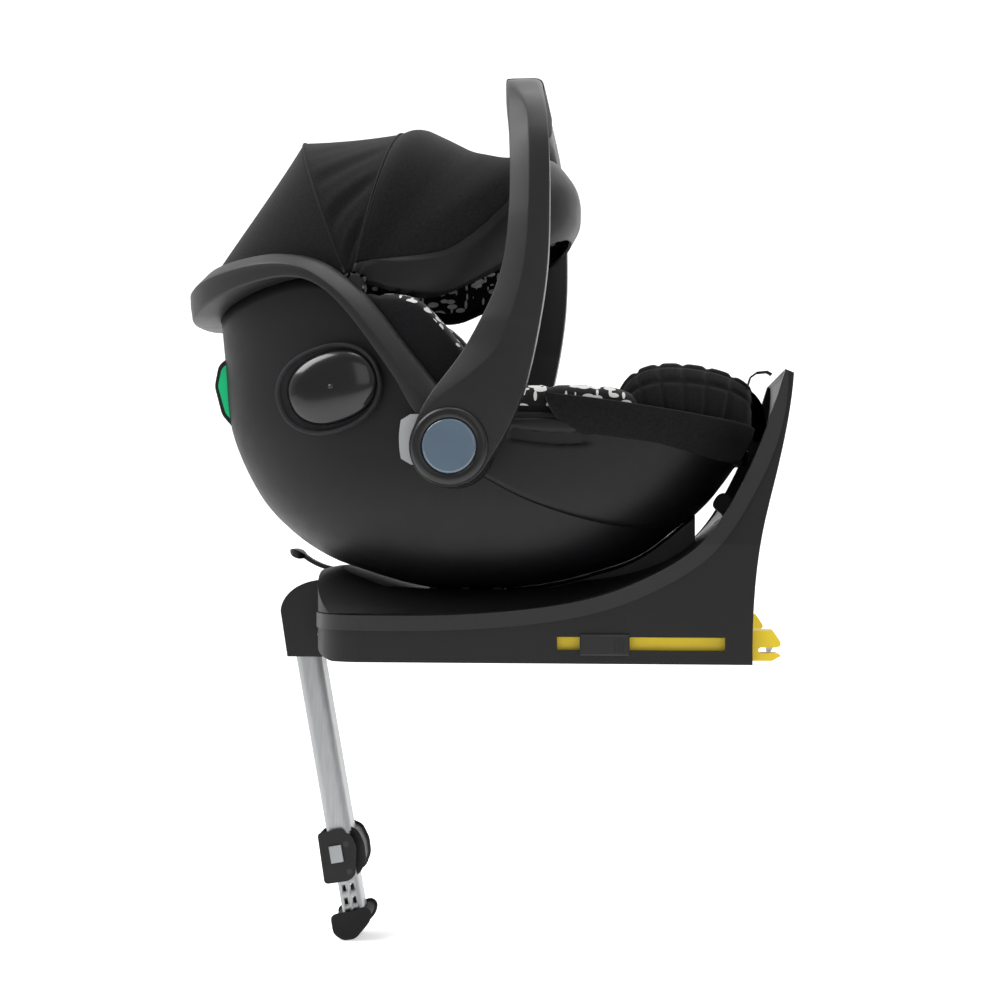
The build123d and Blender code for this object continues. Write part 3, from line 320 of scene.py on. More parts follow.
def plastic(name, colour, roughness=0.5, grain=0.25, level=0.35):
    """Moulded plastic: a fine spark-eroded grain and faint cloudiness."""
    look = Look(name, colour, roughness, Specular_IOR_Level=level)
    cloud = look.noise(9.0, 4.0)
    look.colour(look.mix(cloud, tinted(colour, 0.85), tinted(colour, 1.18)))
    look.vary_roughness(look.noise(60.0, 5.0), roughness - 0.07, roughness + 0.07)
    look.bump(look.noise(1500.0, 2.0), grain, 0.0004)
    return look.material


def fabric(name, colour, weave=1100.0, strength=0.5, rough=0.85):
    """Woven polyester: crossing threads, a faint melange and some sheen."""
    look = Look(name, colour, rough, Sheen_Weight=0.08, Sheen_Roughness=0.45, Specular_IOR_Level=0.12)
    warp = look.node("TexWave", {"bands_direction": "DIAGONAL"}, Vector=look.stretched(1, 1, 1),
                     Scale=weave / 5, Distortion=1.2)
    weft = look.node("TexWave", {"bands_direction": "DIAGONAL"}, Vector=look.stretched(1, -1, -1),
                     Scale=weave / 5, Distortion=1.2)
    cross = look.node("Math", {"operation": "MAXIMUM"}, i0=warp.outputs["Fac"], i1=weft.outputs["Fac"])
    flecks = look.noise(420.0, 2.0)
    look.colour(look.mix(flecks, tinted(colour, 0.7), tinted(colour, 1.35)))
    look.bump(cross.outputs["Value"], strength, 0.0003)
    return look.material


def printed(name, dark, light, scale=34.0):
    """Woven fabric printed with pale pebbles and dashes on a dark ground."""
    look = Look(name, dark, 0.8, Sheen_Weight=0.15, Specular_IOR_Level=0.15)
    pebbles = look.node("TexVoronoi", Vector=look.stretched(1.0, 1.4, 2.1, 0.7), Scale=scale)
    dashes = look.node("TexVoronoi", Vector=look.stretched(3.2, 1.0, 1.0, -0.9), Scale=scale * 0.8)
    spots = []
    for source, limit in ((pebbles, 0.36), (dashes, 0.24)):
        near = look.node("Math", {"operation": "LESS_THAN"}, i0=source.outputs["Distance"], i1=limit)
        spots.append(near.outputs["Value"])
    either = look.node("Math", {"operation": "MAXIMUM"}, i0=spots[0], i1=spots[1])
    look.colour(look.mix(either.outputs["Value"], dark, light))
    look.bump(look.noise(1300.0, 1.0), 0.35, 0.0003)
    return look.material


def metal(name, colour, roughness, stretch):
    """Drawn or plated metal with fine lines along one axis."""
    look = Look(name, colour, roughness, Metallic=1.0)
    lines = look.noise(90.0, 3.0, look.stretched(*stretch))
    look.colour(look.mix(lines, tinted(colour, 0.86), tinted(colour, 1.05)))
    look.vary_roughness(lines, roughness - 0.06, roughness + 0.1)
    look.bump(lines, 0.12, 0.0002)
    return look.material


def rubber(name, colour):
    look = Look(name, colour, 0.72, Specular_IOR_Level=0.25)
    look.colour(look.mix(look.noise(30.0), tinted(colour, 0.8), tinted(colour, 1.2)))
    look.bump(look.noise(2400.0, 2.0), 0.5, 0.0003)
    return look.material


def domed(name, colour):
    """A printed disc under a clear resin dome."""
    look = Look(name, colour, 0.16, Coat_Weight=0.9, Coat_Roughness=0.05)
    look.colour(look.mix(look.noise(22.0), tinted(colour, 0.93), tinted(colour, 1.06)))
    look.bump(look.noise(800.0), 0.02, 0.0002)
    return look.material


def gloss(name, colour):
    look = Look(name, colour, 0.2, Coat_Weight=0.35, Coat_Roughness=0.12, Specular_IOR_Level=0.4)
    look.vary_roughness(look.noise(25.0), 0.16, 0.27)
    look.colour(look.mix(look.noise(8.0), tinted(colour, 0.85), tinted(colour, 1.15)))
    look.bump(look.noise(60.0), 0.01, 0.0003)
    return look.material


MATERIALS = {
    "shell_plastic": plastic("shell_plastic_look", (0.004, 0.004, 0.005), 0.48, 0.2, 0.3),
    "rim_plastic": plastic("rim_plastic_look", (0.009, 0.009, 0.009), 0.45, 0.22, 0.4),
    "guide_green": plastic("guide_green_look", (0.0, 0.46, 0.17), 0.42, 0.15, 0.4),
    "foam": rubber("foam_look", (0.02, 0.02, 0.022)),
    "quilted_fabric": fabric("quilted_fabric_look", (0.007, 0.007, 0.008)),
    "webbing": fabric("webbing_look", (0.010, 0.010, 0.011), 700.0, 0.7),
    "button_grey": plastic("button_grey_look", (0.34, 0.35, 0.36), 0.42, 0.15, 0.4),
    "pod_gloss": gloss("pod_gloss_look", (0.006, 0.006, 0.007)),
    "handle_plastic": plastic("handle_plastic_look", (0.011, 0.011, 0.012), 0.42, 0.22, 0.36),
    "grip_rubber": rubber("grip_rubber_look", (0.010, 0.010, 0.011)),
    "hub_black": plastic("hub_black_look", (0.008, 0.008, 0.009), 0.3, 0.1, 0.45),
    "hub_blue": domed("hub_blue_look", (0.085, 0.125, 0.17)),
    "canopy_fabric": fabric("canopy_fabric_look", (0.008, 0.008, 0.008), 1300.0, 0.35),
    "base_plastic": plastic("base_plastic_look", (0.005, 0.005, 0.005), 0.46, 0.22, 0.35),
    # painted highlight: the band's colour is set lighter than the base's plastic to stand in for the
    # highlight along the base's ridge
    "band_plastic": plastic("band_plastic_painted_highlight_look", (0.012, 0.012, 0.013), 0.4, 0.2, 0.45),
    "steel": metal("steel_look", (0.52, 0.52, 0.54), 0.34, (1, 8, 1)),
    "tube_aluminium": metal("tube_aluminium_look", (0.372, 0.378, 0.384), 0.36, (6, 6, 0.4)),
    "isofix_yellow": plastic("isofix_yellow_look", (0.86, 0.62, 0.012), 0.36, 0.12, 0.5),
    "slider_black": plastic("slider_black_look", (0.009, 0.009, 0.010), 0.4, 0.15, 0.4),
}
PRINT = printed("print_look", (0.006, 0.006, 0.007), (0.66, 0.66, 0.64), 52.0)
PIPING = rubber("piping_look", (0.004, 0.004, 0.004))
PAD_GREY = fabric("pad_grey_look", (0.16, 0.17, 0.18), 900.0, 0.4)


def dress_frame():
    """Every carried-over CAD node gets the look of its slot."""
    slots = {part["node"]: part["material_slot"] for part in frame["record"]["subparts"]}
    for node, obj in frame["nodes"].items():
        for index in range(len(obj.material_slots)):
            obj.material_slots[index].material = MATERIALS[slots[node]]
        if not obj.material_slots:
            obj.data.materials.append(MATERIALS[slots[node]])


# ---------------- carrier shell
HULL_LINES = [Profile([(row[0], row[k]) for row in HULL_SHAPE]) for k in (1, 2, 3)]


def hull_point(turn, z, grow=0.0, grow_back=None):
    """A point on the carrier's outer form: turn 0 is the foot end, a quarter the far side."""
    level = (z - HULL_BOTTOM) / HULL_HEIGHT
    back, front, half = (line(level) for line in HULL_LINES)
    rear = HULL_X - back * HULL_BACK - (grow if grow_back is None else grow_back)
    fore = HULL_X + front * HULL_FRONT + grow
    c, s = math.cos(turn), math.sin(turn)
    power = 2 / HULL_SQUARE
    x = (rear + fore) / 2 + (fore - rear) / 2 * math.copysign(abs(c) ** power, c)
    return x, (half * HULL_HALF + grow) * math.copysign(abs(s) ** power, s), z


def height_on_hull(turn, line, grow=0.0, grow_back=None):
    """Where a column of the hull meets a side line."""
    z = 300.0
    for _ in range(12):
        z = line(hull_point(turn, z, grow, grow_back)[0])
    return z


LOW_LINE = Profile(RIM_LOW + SHELL_TOP_FOOT)
HIGH_LINE = Profile(RIM_HIGH)


def make_shell():
    """The carrier's bucket, from the middle of its underside up to the rim's line."""
    columns = turns(144)
    rows = []
    for share in (0.5, 1.0):
        rows.append([(HULL_X + (x - HULL_X) * share, y * share, HULL_BOTTOM)
                     for x, y, _ in (hull_point(turn, HULL_BOTTOM) for turn in columns)])
    tops = [height_on_hull(turn, LOW_LINE) for turn in columns]
    steps = 40
    for i in range(1, steps + 1):
        share = (i / steps) ** 1.5
        rows.append([hull_point(turn, HULL_BOTTOM + share * (top - HULL_BOTTOM))
                     for turn, top in zip(columns, tops)])
    points, faces = grid(rows, wrap_columns=True)
    points.append((HULL_X, 0, HULL_BOTTOM))
    for j in range(len(columns)):
        faces.append((len(points) - 1, (j + 1) % len(columns), j))
    shell = mesh_object("carrier_bucket", points, faces, MATERIALS["shell_plastic"], "carrier")
    modify(shell, "SOLIDIFY", thickness=0.004, offset=-1)
    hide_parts("carrier_shell")


# how far out and how high each corner of the rim's section stands, as shares
RIM_SECTION = [(0.02, -0.02), (0.55, -0.04), (0.95, 0.00), (1.0, 0.06), (1.02, 0.35), (1.0, 0.60),
               (0.93, 0.66), (0.45, 0.96), (0.25, 1.0), (-0.02, 1.0), (-0.10, 0.95), (-0.12, 0.4)]


def make_rim():
    """The flared rim round the head end, with its bevelled upper edge."""
    start = next(turn for turn in (math.radians(a / 4) for a in range(200, 720))
                 if hull_point(turn, 300.0)[0] < RIM_END_X)
    count = 120
    rings = []
    for i in range(count):
        turn = start + (2 * math.pi - 2 * start) * i / (count - 1)
        back = abs(math.cos(turn)) if math.cos(turn) < 0 else 0.0
        low = height_on_hull(turn, LOW_LINE)
        high = height_on_hull(turn, HIGH_LINE, RIM_SIDE_FLARE * 0.5, RIM_BACK_FLARE * 0.5)
        ring = []
        for out, up in RIM_SECTION:
            z = low + (high - low) * up
            x, y, _ = hull_point(turn, z, RIM_SIDE_FLARE * out, RIM_BACK_FLARE * out)
            ring.append((x, y, z - 2.0 * back * out))
        rings.append(ring)
    rim = sweep("rim_band", rings, MATERIALS["rim_plastic"], "carrier")
    modify(rim, "BEVEL", width=0.0012, segments=2, limit_method="ANGLE", angle_limit=math.radians(25))
    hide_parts("carrier_rim")


def side_turns(x_from, x_to, side, count, z=220.0):
    """Turns of the hull whose columns cross the given stretch of X on one side."""
    found = []
    for i in range(count):
        x = x_from + (x_to - x_from) * i / (count - 1)
        low, high = 0.0, math.pi
        for _ in range(30):
            mid = (low + high) / 2
            low, high = (mid, high) if hull_point(mid, z)[0] > x else (low, mid)
        found.append(side * low)
    return found


def make_side_cover(name, side):
    """The raised panel on one side of the foot end, with the lap belt's groove."""
    low_line, high_line = Profile(PANEL_LOW), Profile(PANEL_HIGH)
    groove = Profile([(-40, 241), (-24, 240), (8, 236), (40, 236), (70, 238)])
    rows = []
    columns = side_turns(-60, 212, side, 90)
    for turn in columns:
        low, high = height_on_hull(turn, low_line), height_on_hull(turn, high_line)
        row = []
        for k in range(41):
            z = low + (high - low) * k / 40
            x = hull_point(turn, z)[0]
            edge = min(k, 40 - k) / 40 * (high - low)
            ends = min(x + 62, 216 - x)
            raise_by = PANEL_RAISE * ease(min(edge, ends) / 3.0)
            inside = ease((8.0 - abs(z - groove(x))) / 2.0) * ease((x + 34) / 8) * ease((58 - x) / 22)
            row.append(hull_point(turn, z, raise_by - 6.0 * inside - 0.6))
        rows.append(row)
    points, faces = grid(rows)
    if side == FAR:
        faces = flipped(faces)
    cover = mesh_object(name, points, faces, MATERIALS["shell_plastic"], "carrier")
    modify(cover, "SOLIDIFY", thickness=0.0015, offset=-1)
    return cover


# ---------------- carry handle
def along_line(points, count):
    """Even-parameter points of a smooth open line, mirrored to the far side as one arch."""
    half = smooth_line(points, count)
    return [(-y, z) for y, z in half] + half[-2::-1]


def rounded(corners, radii, steps=5):
    """A closed outline with each corner drawn as a short curve."""
    out = []
    for i, corner in enumerate(corners):
        here = Vector(corner)
        ends = []
        for other in (corners[i - 1], corners[(i + 1) % len(corners)]):
            way = Vector(other) - here
            ends.append(here + way * min(radii[i] / max(way.length, 1e-6), 0.46))
        for k in range(steps):
            t = k / (steps - 1)
            out.append(ends[0] * (1 - t) ** 2 + here * (2 * t * (1 - t)) + ends[1] * t * t)
    return out


def arch_rings(from_y, to_y, inset):
    """Sections of the handle's arch between two places across, drawn in by an inset."""
    back_line, front_line = Profile([(z, x) for x, z in ARM_BACK]), Profile([(z, x) for x, z in ARM_FRONT])
    foot = HUB_Z - HUB_R + 0.4
    rings = []
    for (yo, zo), (yi, zi) in zip(along_line(ARCH_OUTER, 180), along_line(ARCH_INNER, 180)):
        if not from_y <= (yo + yi) / 2 <= to_y:
            continue
        zo, zi = max(zo, foot), max(zi, foot)
        z = (zo + zi) / 2
        reach = math.sqrt(max(HUB_R ** 2 - (z - HUB_Z) ** 2, 0.0))
        back, front = back_line(z), front_line(z)
        if z < HUB_Z + HUB_R:
            back = min(HUB_X - reach, back) if z > HUB_Z else HUB_X - reach
            front = max(HUB_X + reach, front) if z > HUB_Z - 24 else HUB_X + reach
        back, front = back + inset, front - inset
        thick = math.hypot(yo - yi, zo - zi)
        crown = ease((z - 560) / 70)
        facet = ease((z - HUB_Z - 22) / 90) * (1 - crown)
        corners = [(back, inset), (back, thick - inset - 9.0 * facet - 0.5),
                   (back + 2 + (0.5 * (front - back) - 2) * facet, thick - inset), (front, thick - inset),
                   (front, inset)]
        radii = [3 + 6 * crown, 1.8 + 9 * crown, 1.2 + 5 * crown, 2.0 + 9 * crown, 3 + 6 * crown]
        rings.append([(x, yi + (yo - yi) * out / thick, zi + (zo - zi) * out / thick)
                      for x, out in rounded(corners, radii)])
    return rings


def make_handle():
    """The bevelled arch and its soft grip, with their hard edges kept."""
    handle = sweep("handle_arch", arch_rings(-300, 300, 0.0), MATERIALS["handle_plastic"], "handle",
                   turned=True)
    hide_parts("handle_frame")
    grip = sweep("handle_grip_sleeve", arch_rings(-GRIP_HALF, GRIP_HALF, -GRIP_SKIN),
                 MATERIALS["grip_rubber"], "handle", turned=True)
    for piece in (handle, grip):
        piece.data.set_sharp_from_angle(angle=math.radians(28))
    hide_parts("handle_grip")


# radius and height over the arm of each edge of a hub's ring
HUB_RING = [(28.6, 1.0), (28.6, 3.4), (30.2, 4.4), (36.6, 4.4), (39.4, 2.6), (40.4, -1.0)]


def make_hub_rings():
    """Rings round the hub discs."""
    for name, side in SIDES.items():
        rings = []
        for radius, out in HUB_RING:
            rings.append([(HUB_X + radius * math.cos(a), side * (ARM_OUTER + out),
                           HUB_Z + radius * math.sin(a)) for a in turns(72)])
        points, faces = grid(rings, wrap_columns=True)
        if side == FAR:
            faces = flipped(faces)
        ring = mesh_object("hub_ring_" + name, points, faces, MATERIALS["hub_black"], "handle")


# ---------------- canopy
DOME_REACH = Profile(DOME)


def arch_point(angle, reach, half, share, grow=0.0):
    """A point of the canopy: share 0 is the near foot and 1 the far foot."""
    turn = math.pi * share
    c, s = math.cos(turn), max(math.sin(turn), 0.0)
    power = 2 / BOW_SQUARE
    across = -math.copysign(abs(c) ** power, c) * (half + grow)
    out = (reach + grow) * s ** power
    a = math.radians(angle)
    return PIVOT_X + out * math.cos(a), across, PIVOT_Z + out * math.sin(a)


SHARES = [0.012 + 0.976 * i / 96 for i in range(97)]     # along every arch, short of its feet


def between(first, second, share, u, sag, wrinkle=None):
    """A point of the stretched cloth between two bows."""
    a, b = arch_point(*first, share), arch_point(*second, share)
    point = [p + (q - p) * u for p, q in zip(a, b)]
    lift = -sag * 4 * u * (1 - u) * math.sin(math.pi * share)
    if wrinkle:
        lift += wrinkle(u, share) * min(1.0, 6 * u * (1 - u))
    centre = (PIVOT_X, 0, PIVOT_Z)
    away = Vector([p - c for p, c in zip(point, centre)])
    return tuple(Vector(point) + away.normalized() * lift)


def soft_folds(u, share):
    """Slack that gathers towards the pivots and runs aslant between the bows."""
    foot = min(share, 1 - share)
    gather = ease(1 - foot / 0.42) * ease(foot / 0.05)
    aslant = foot - 0.11 * u
    return gather * (2.6 * math.sin(aslant * 62) + 1.3 * math.sin(aslant * 121 + 1.0)) - 1.0 * gather


def faint_slack(u, share):
    foot = min(share, 1 - share)
    return 0.7 * math.sin(foot * 17 + u * 4) * ease(foot / 0.1)


def finish_cloth(cloth, node):
    """Thickness, the printed lining inside, and the CAD node it stands in for hidden."""
    cloth.data.materials.append(PRINT)
    subdivide(cloth)
    modify(cloth, "SOLIDIFY", thickness=0.0012, offset=-1, material_offset=1)
    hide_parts(node)


def visor_turn(share, line, lead=0.0):
    """The angle at which the dome, at a share of its arch, meets a side line."""
    angle = FRONT_BOW[0]
    while angle > DOME_END:
        x, _, z = arch_point(angle, DOME_REACH(angle), DOME_HALF, share)
        if z < line(x) + lead:
            return angle
        angle -= 0.25
    return DOME_END


def make_canopy():
    """Three stretched cloth panels over two bows, the moulded visor, and piping."""
    steps = 22
    rear = [[between(REAR_EDGE, REAR_BOW, share, k / steps, 1.5, faint_slack) for share in SHARES]
            for k in range(steps + 1)]
    middle = [[between(REAR_BOW, FRONT_BOW, share, k / steps, 2.0, soft_folds) for share in SHARES]
              for k in range(steps + 1)]
    for name, rows, node, bodies, start, end in (
            ("canopy_back_sheet", rear, "canopy_rear_cloth", ("carrier", "canopy_rear"), REAR_EDGE, REAR_BOW),
            ("canopy_middle_sheet", middle, "canopy_middle_cloth", ("canopy_rear", "canopy_front"),
             REAR_BOW, FRONT_BOW)):
        points, faces = grid(rows)
        faces = flipped(faces)
        cloth = mesh_object(name, points, faces, MATERIALS["canopy_fabric"])
        finish_cloth(cloth, node)
        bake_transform(cloth)
    make_canopy_front()
    for name, bow in (("rear", REAR_BOW), ("front", FRONT_BOW)):
        hoop = tube("canopy_hoop_" + name, [arch_point(*bow, share, -5.5) for share in SHARES], 2.6,
                    MATERIALS["hub_black"], "canopy_" + name)
        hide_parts("canopy_bow_" + name)
    for name, bow, body, radius, shifts in (("rear", REAR_BOW, "canopy_rear", 1.3, (0.0,)),
                                            ("front", FRONT_BOW, "canopy_front", 1.2, (-0.7, 0.7))):
        for k, shift in enumerate(shifts):
            path = [arch_point(bow[0] + shift, bow[1], bow[2], share, -0.3) for share in SHARES]
            piping = tube(f"canopy_piping_{name}_{k + 1}", path, radius, PIPING, body)


def make_canopy_front():
    """The front cloth from the front bow to the visor, and the visor's crescent."""
    high, low = Profile(VISOR_HIGH), Profile(VISOR_LOW)
    steps = 26
    cloth_rows = [[] for _ in range(steps + 1)]
    visor_rows = [[] for _ in range(steps + 1)]
    for share in SHARES:
        top = visor_turn(share, high, 2.0)
        chin = visor_turn(share, low)
        for k in range(steps + 1):
            angle = FRONT_BOW[0] + (top - 2.5 - FRONT_BOW[0]) * k / steps
            point = arch_point(angle, DOME_REACH(angle), dome_half(angle), share)
            sag = -3.0 * math.sin(math.pi * k / steps) * math.sin(math.pi * share)
            point = (point[0], point[1], point[2] + sag)
            cloth_rows[k].append(point)
            angle = top + (chin - top) * k / steps
            edge = min(k, steps - k) / steps
            swell = 2.2 + 3.2 * ease(edge / 0.16)
            visor_rows[k].append(arch_point(angle, DOME_REACH(angle), dome_half(angle), share, swell))
    points, faces = grid(cloth_rows)
    faces = flipped(faces)
    cloth = mesh_object("canopy_front_sheet", points, faces, MATERIALS["canopy_fabric"])
    finish_cloth(cloth, "canopy_front_cloth")
    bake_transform(cloth)
    points, faces = grid(visor_rows)
    visor = mesh_object("visor_crescent", points, flipped(faces), MATERIALS["shell_plastic"], "visor")
    for material in (PRINT, MATERIALS["shell_plastic"], MATERIALS["shell_plastic"]):
        visor.data.materials.append(material)
    for index, face in enumerate(visor.data.polygons):
        face.material_index = 0 if index // (len(SHARES) - 1) < steps * 0.62 else 2
    modify(visor, "SOLIDIFY", thickness=0.003, offset=-1, material_offset=1)
    modify(visor, "BEVEL", width=0.0008, segments=2, limit_method="ANGLE", angle_limit=math.radians(40))
    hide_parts("canopy_visor")


def dome_half(angle):
    """The dome narrows from the front bow to the visor."""
    return DOME_HALF + (FRONT_BOW[2] - DOME_HALF) * ease((angle - 50) / 25.8)


# ---------------- soft seat
def padded_block(name, outline_points, y0, y1, material, body, channels=(), resolution=5.0, puff=1.0):
    """A pad: a side outline drawn across, tucked in at its ends and swollen between its sewn channels.

    channels are (axis, place) pairs, where the cover is pulled in along a line."""
    line = smooth_line(outline_points + [outline_points[0]], 90)[:-1]
    cx = sum(p[0] for p in line) / len(line)
    cz = sum(p[1] for p in line) / len(line)
    steps = max(8, int((y1 - y0) / resolution))
    rings = []
    for i in range(steps + 1):
        u = i / steps
        y = y0 + (y1 - y0) * u
        end = min(u, 1 - u) * (y1 - y0)
        tuck = 1 - 0.36 * (1 - ease(end / 16.0)) ** 2
        ring = []
        for x, z in line:
            away = Vector((x - cx, 0, z - cz))
            reach = away.length
            direction = away / max(reach, 1e-6)
            swell = 0.0
            for axis, place in channels:
                gap = abs((x, y, z)[axis] - place)
                swell -= 3.4 * puff * math.exp(-(gap / 3.4) ** 2)
                swell += 1.0 * puff * math.exp(-((gap - 13) / 9.0) ** 2)
            swell += 0.5 * noise.noise(Vector((x, y, z)) / 26.0)
            moved = direction * (reach * tuck + swell)
            ring.append((cx + moved.x, y, cz + moved.z))
        rings.append(ring)
    pad = sweep(name, rings, material, body)
    subdivide(pad)
    return pad


CUSHION = [(78, 262), (84, 290), (101, 309), (130, 317), (172, 315), (208, 306), (234, 290), (244, 266),
           (236, 238), (150, 244)]
CUSHION_MIDDLE = (158, 246)
CUSHION_HALF = 150.0
CUSHION_ROUND = 34.0
CUSHION_FLAT = 0.62
CUSHION_SEAMS_X = [100, 126, 152, 178, 204]
CUSHION_SEAMS_Y = [0, 29, 58, 87]
CUSHION_SIDE_SEAMS = [0.35, 0.86]    # radians round each domed end
CUSHION_NARROW, CUSHION_LOWER = 0.22, 0.8     # how far the ends draw in, as shares
CUSHION_SEAM_WIDE, CUSHION_SIDE_SEAM_WIDE = 2.6, 0.06
CUSHION_PUFF, CUSHION_PULL = 1.2, 3.0
CUSHION_TAB = [(222, 296), (225, 306), (232, 311), (243, 312), (248, 309)]
SEAT_BACK = [(-340, 384), (-226, 250)]
SEAT_LINE = [(-226, 250), (-120, 166), (-66, 142), (-6, 138), (60, 156), (140, 206), (200, 236)]
PAD_HIGH = 20.0
LINER_TOP = [(-430, 368), (-354, 380), (-294, 386), (-247, 388), (-204, 384), (-170, 384), (-145, 382),
             (-127, 375), (-104, 352), (-80, 323), (-62, 303), (-45, 290), (-20, 286), (60, 285), (92, 278),
             (120, 262), (200, 246), (262, 236)]
LINER_HEAD_ROWS = 66      # from the head end, where only the lip itself is printed
LINER_HOLLOW = 120.0
LINER_CROWN = 6.0
LINER_FROM, LINER_TO = -346.0, 226.0
LINER_SEAMS = [-320, -270, -220, -172, -40, 10, 60]


def make_foot_cushion():
    """A stuffed bolster with domed ends, quilted in squares."""
    line = smooth_line(CUSHION + [CUSHION[0]], 150)[:-1]
    count = 150
    rings = []
    for i in range(count + 1):
        u = 2 * i / count - 1
        past = max(0.0, abs(u) - CUSHION_FLAT) / (1 - CUSHION_FLAT)
        bend = math.pi / 2 * past
        straight = CUSHION_HALF - CUSHION_ROUND
        y = math.copysign(straight * min(1.0, abs(u) / CUSHION_FLAT) + CUSHION_ROUND * math.sin(bend), u)
        shrink = 1 - math.cos(bend)
        ring = []
        for x, z in line:
            along = CUSHION_MIDDLE[0] + (x - CUSHION_MIDDLE[0]) * (1 - CUSHION_NARROW * shrink)
            up = CUSHION_MIDDLE[1] + (z - CUSHION_MIDDLE[1]) * (1 - CUSHION_LOWER * shrink)
            past_seams = ([(x - seam - 3 * math.sin(z / 9)) / CUSHION_SEAM_WIDE for seam in CUSHION_SEAMS_X]
                          + [(abs(y) - seam) / CUSHION_SEAM_WIDE for seam in CUSHION_SEAMS_Y]
                          + [(bend - seam) / CUSHION_SIDE_SEAM_WIDE for seam in CUSHION_SIDE_SEAMS])
            pull = max(math.exp(-gap ** 2) for gap in past_seams)
            away = Vector((along - CUSHION_MIDDLE[0], 0, up - CUSHION_MIDDLE[1])).normalized()
            away.y = math.copysign(math.sin(bend) * 1.6, y)
            puffed = Vector((along, y, up)) + away.normalized() * (CUSHION_PUFF - CUSHION_PULL * pull)
            narrow = min(1.0, hull_half(along, 262, -5.0) / CUSHION_HALF)
            ring.append((puffed.x, puffed.y * narrow, puffed.z))
        rings.append(ring)
    cushion = sweep("foot_cushion_quilted", rings, MATERIALS["quilted_fabric"], "carrier")
    subdivide(cushion)
    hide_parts("foot_cushion")
    strap = ribbon("cushion_tab", [(x, -62, z) for x, z in CUSHION_TAB], 22.0, 1.6,
                   MATERIALS["webbing"], "carrier")


def ribbon(name, path, wide, thick, material, body):
    """A flat strap of even width across, along a path in the side view."""
    rings = []
    for i, (x, y, z) in enumerate(path):
        before, after = path[max(i - 1, 0)], path[min(i + 1, len(path) - 1)]
        run = Vector((after[0] - before[0], 0, after[2] - before[2])).normalized()
        up = Vector((-run.z, 0, run.x)) * thick / 2
        rings.append([(x + up.x * s, y + wide / 2 * side, z + up.z * s)
                      for s, side in ((-1, -1), (-1, 1), (1, 1), (1, -1))])
    strap = sweep(name, rings, material, body, smooth=False)
    modify(strap, "BEVEL", width=0.0004, segments=2)
    return strap


def make_seat_pads():
    """The light back pad, and the headrest with its two wings."""
    back_line = smooth_line(SEAT_LINE[:-2], 30)
    over = [(x + 0.6428 * PAD_HIGH, z + 0.766 * PAD_HIGH) for x, z in back_line]
    pad_outline = [(x + 1.0, z + 1.5) for x, z in back_line[::4]] + over[::-4]
    pad = padded_block("seat_pad_quilted", pad_outline, -92, 92, PAD_GREY, "carrier",
                       channels=[(1, -46), (1, 46)], puff=0.6)
    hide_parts("back_pad")
    head = [(-231, 256), (-214, 272), (-262, 330), (-279, 344), (-290, 352), (-298, 338)]
    rest = padded_block("headrest_pad", head, -88, 88, MATERIALS["quilted_fabric"], "headrest",
                        channels=[(1, -62), (1, 62), (2, 300)])
    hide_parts("headrest")
    wing = [(-231, 257), (-206, 292), (-190, 322), (-192, 350), (-212, 364), (-246, 360), (-292, 340),
            (-262, 298)]
    for name, side in SIDES.items():
        y0, y1 = sorted((side * 68, side * 90))
        piece = padded_block("headrest_wing_" + name, wing, y0, y1, MATERIALS["quilted_fabric"],
                             "headrest", channels=[(2, 322)], resolution=2.0)


def hull_half(x, z, grow=0.0):
    """Half the hull's width at a place."""
    level = (z - HULL_BOTTOM) / HULL_HEIGHT
    back, front, half = (line(level) for line in HULL_LINES)
    rear, fore = HULL_X - back * HULL_BACK - grow, HULL_X + front * HULL_FRONT + grow
    share = min(1.0, abs(x - (rear + fore) / 2) / ((fore - rear) / 2))
    return (half * HULL_HALF + grow) * (1 - share ** HULL_SQUARE) ** (1 / HULL_SQUARE)


def liner_section(x, top, floor):
    """Half a cross-section of the liner, from the shell's edge over the lip to the middle."""
    outer = hull_half(x, top - 12, -7.0)
    inner = min(LINER_HOLLOW, outer - 24)
    seams = sum(math.exp(-((x - place) / 3.2) ** 2) for place in LINER_SEAMS)
    crown = LINER_CROWN - 4.0 * seams
    floor = min(floor, top - 3)
    lip = (outer + inner) / 2
    strip = 5 + 10 * ease((x + 70) / 40)
    section = [(outer, min(top - 34, LOW_LINE(x) - 4)), (outer - 0.5, top - strip), (outer - 2.5, top - 1),
               (outer - 8, top + crown * 0.75), (lip, top + crown), (inner + 9, top + crown * 0.75),
               (inner + 3, top - 1), (inner + 0.5, top - 8)]
    deep = top - 8 - floor
    for k in range(1, 9):
        u = k / 8
        swell = 3.0 * math.sin(math.pi * u) * min(1.0, deep / 60) - 2.5 * seams * math.sin(math.pi * u)
        section.append((inner - 1.5 * u - swell - 6 * ease((u - 0.75) / 0.25), top - 8 - deep * u))
    last = section[-1][0]
    section += [(last * (1 - k / 8), floor) for k in range(1, 9)]
    return section


def make_liner():
    """The seat liner over the foam: padded walls, with the print along the opening."""
    top = Profile(LINER_TOP)
    floor = Profile(SEAT_BACK + SEAT_LINE[1:])
    rows = []
    for i in range(141):
        x = LINER_FROM + (LINER_TO - LINER_FROM) * i / 140
        half = liner_section(x, top(x), floor(x) + 1.2)
        rows.append([(x, -y, z) for y, z in half] + [(x, y, z) for y, z in half[-2::-1]])
    points, faces = grid(rows)
    liner = mesh_object("seat_liner", points, faces, MATERIALS["quilted_fabric"], "carrier")
    liner.data.materials.append(PRINT)
    wide = len(rows[0])
    for index, face in enumerate(liner.data.polygons):
        column = index % (wide - 1)
        column = min(column, wide - 2 - column)
        if (1 if index // (wide - 1) > LINER_HEAD_ROWS else 2) <= column <= 10:
            face.material_index = 1
    subdivide(liner)
    modify(liner, "SOLIDIFY", thickness=0.002, offset=-1)
    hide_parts("foam_body")


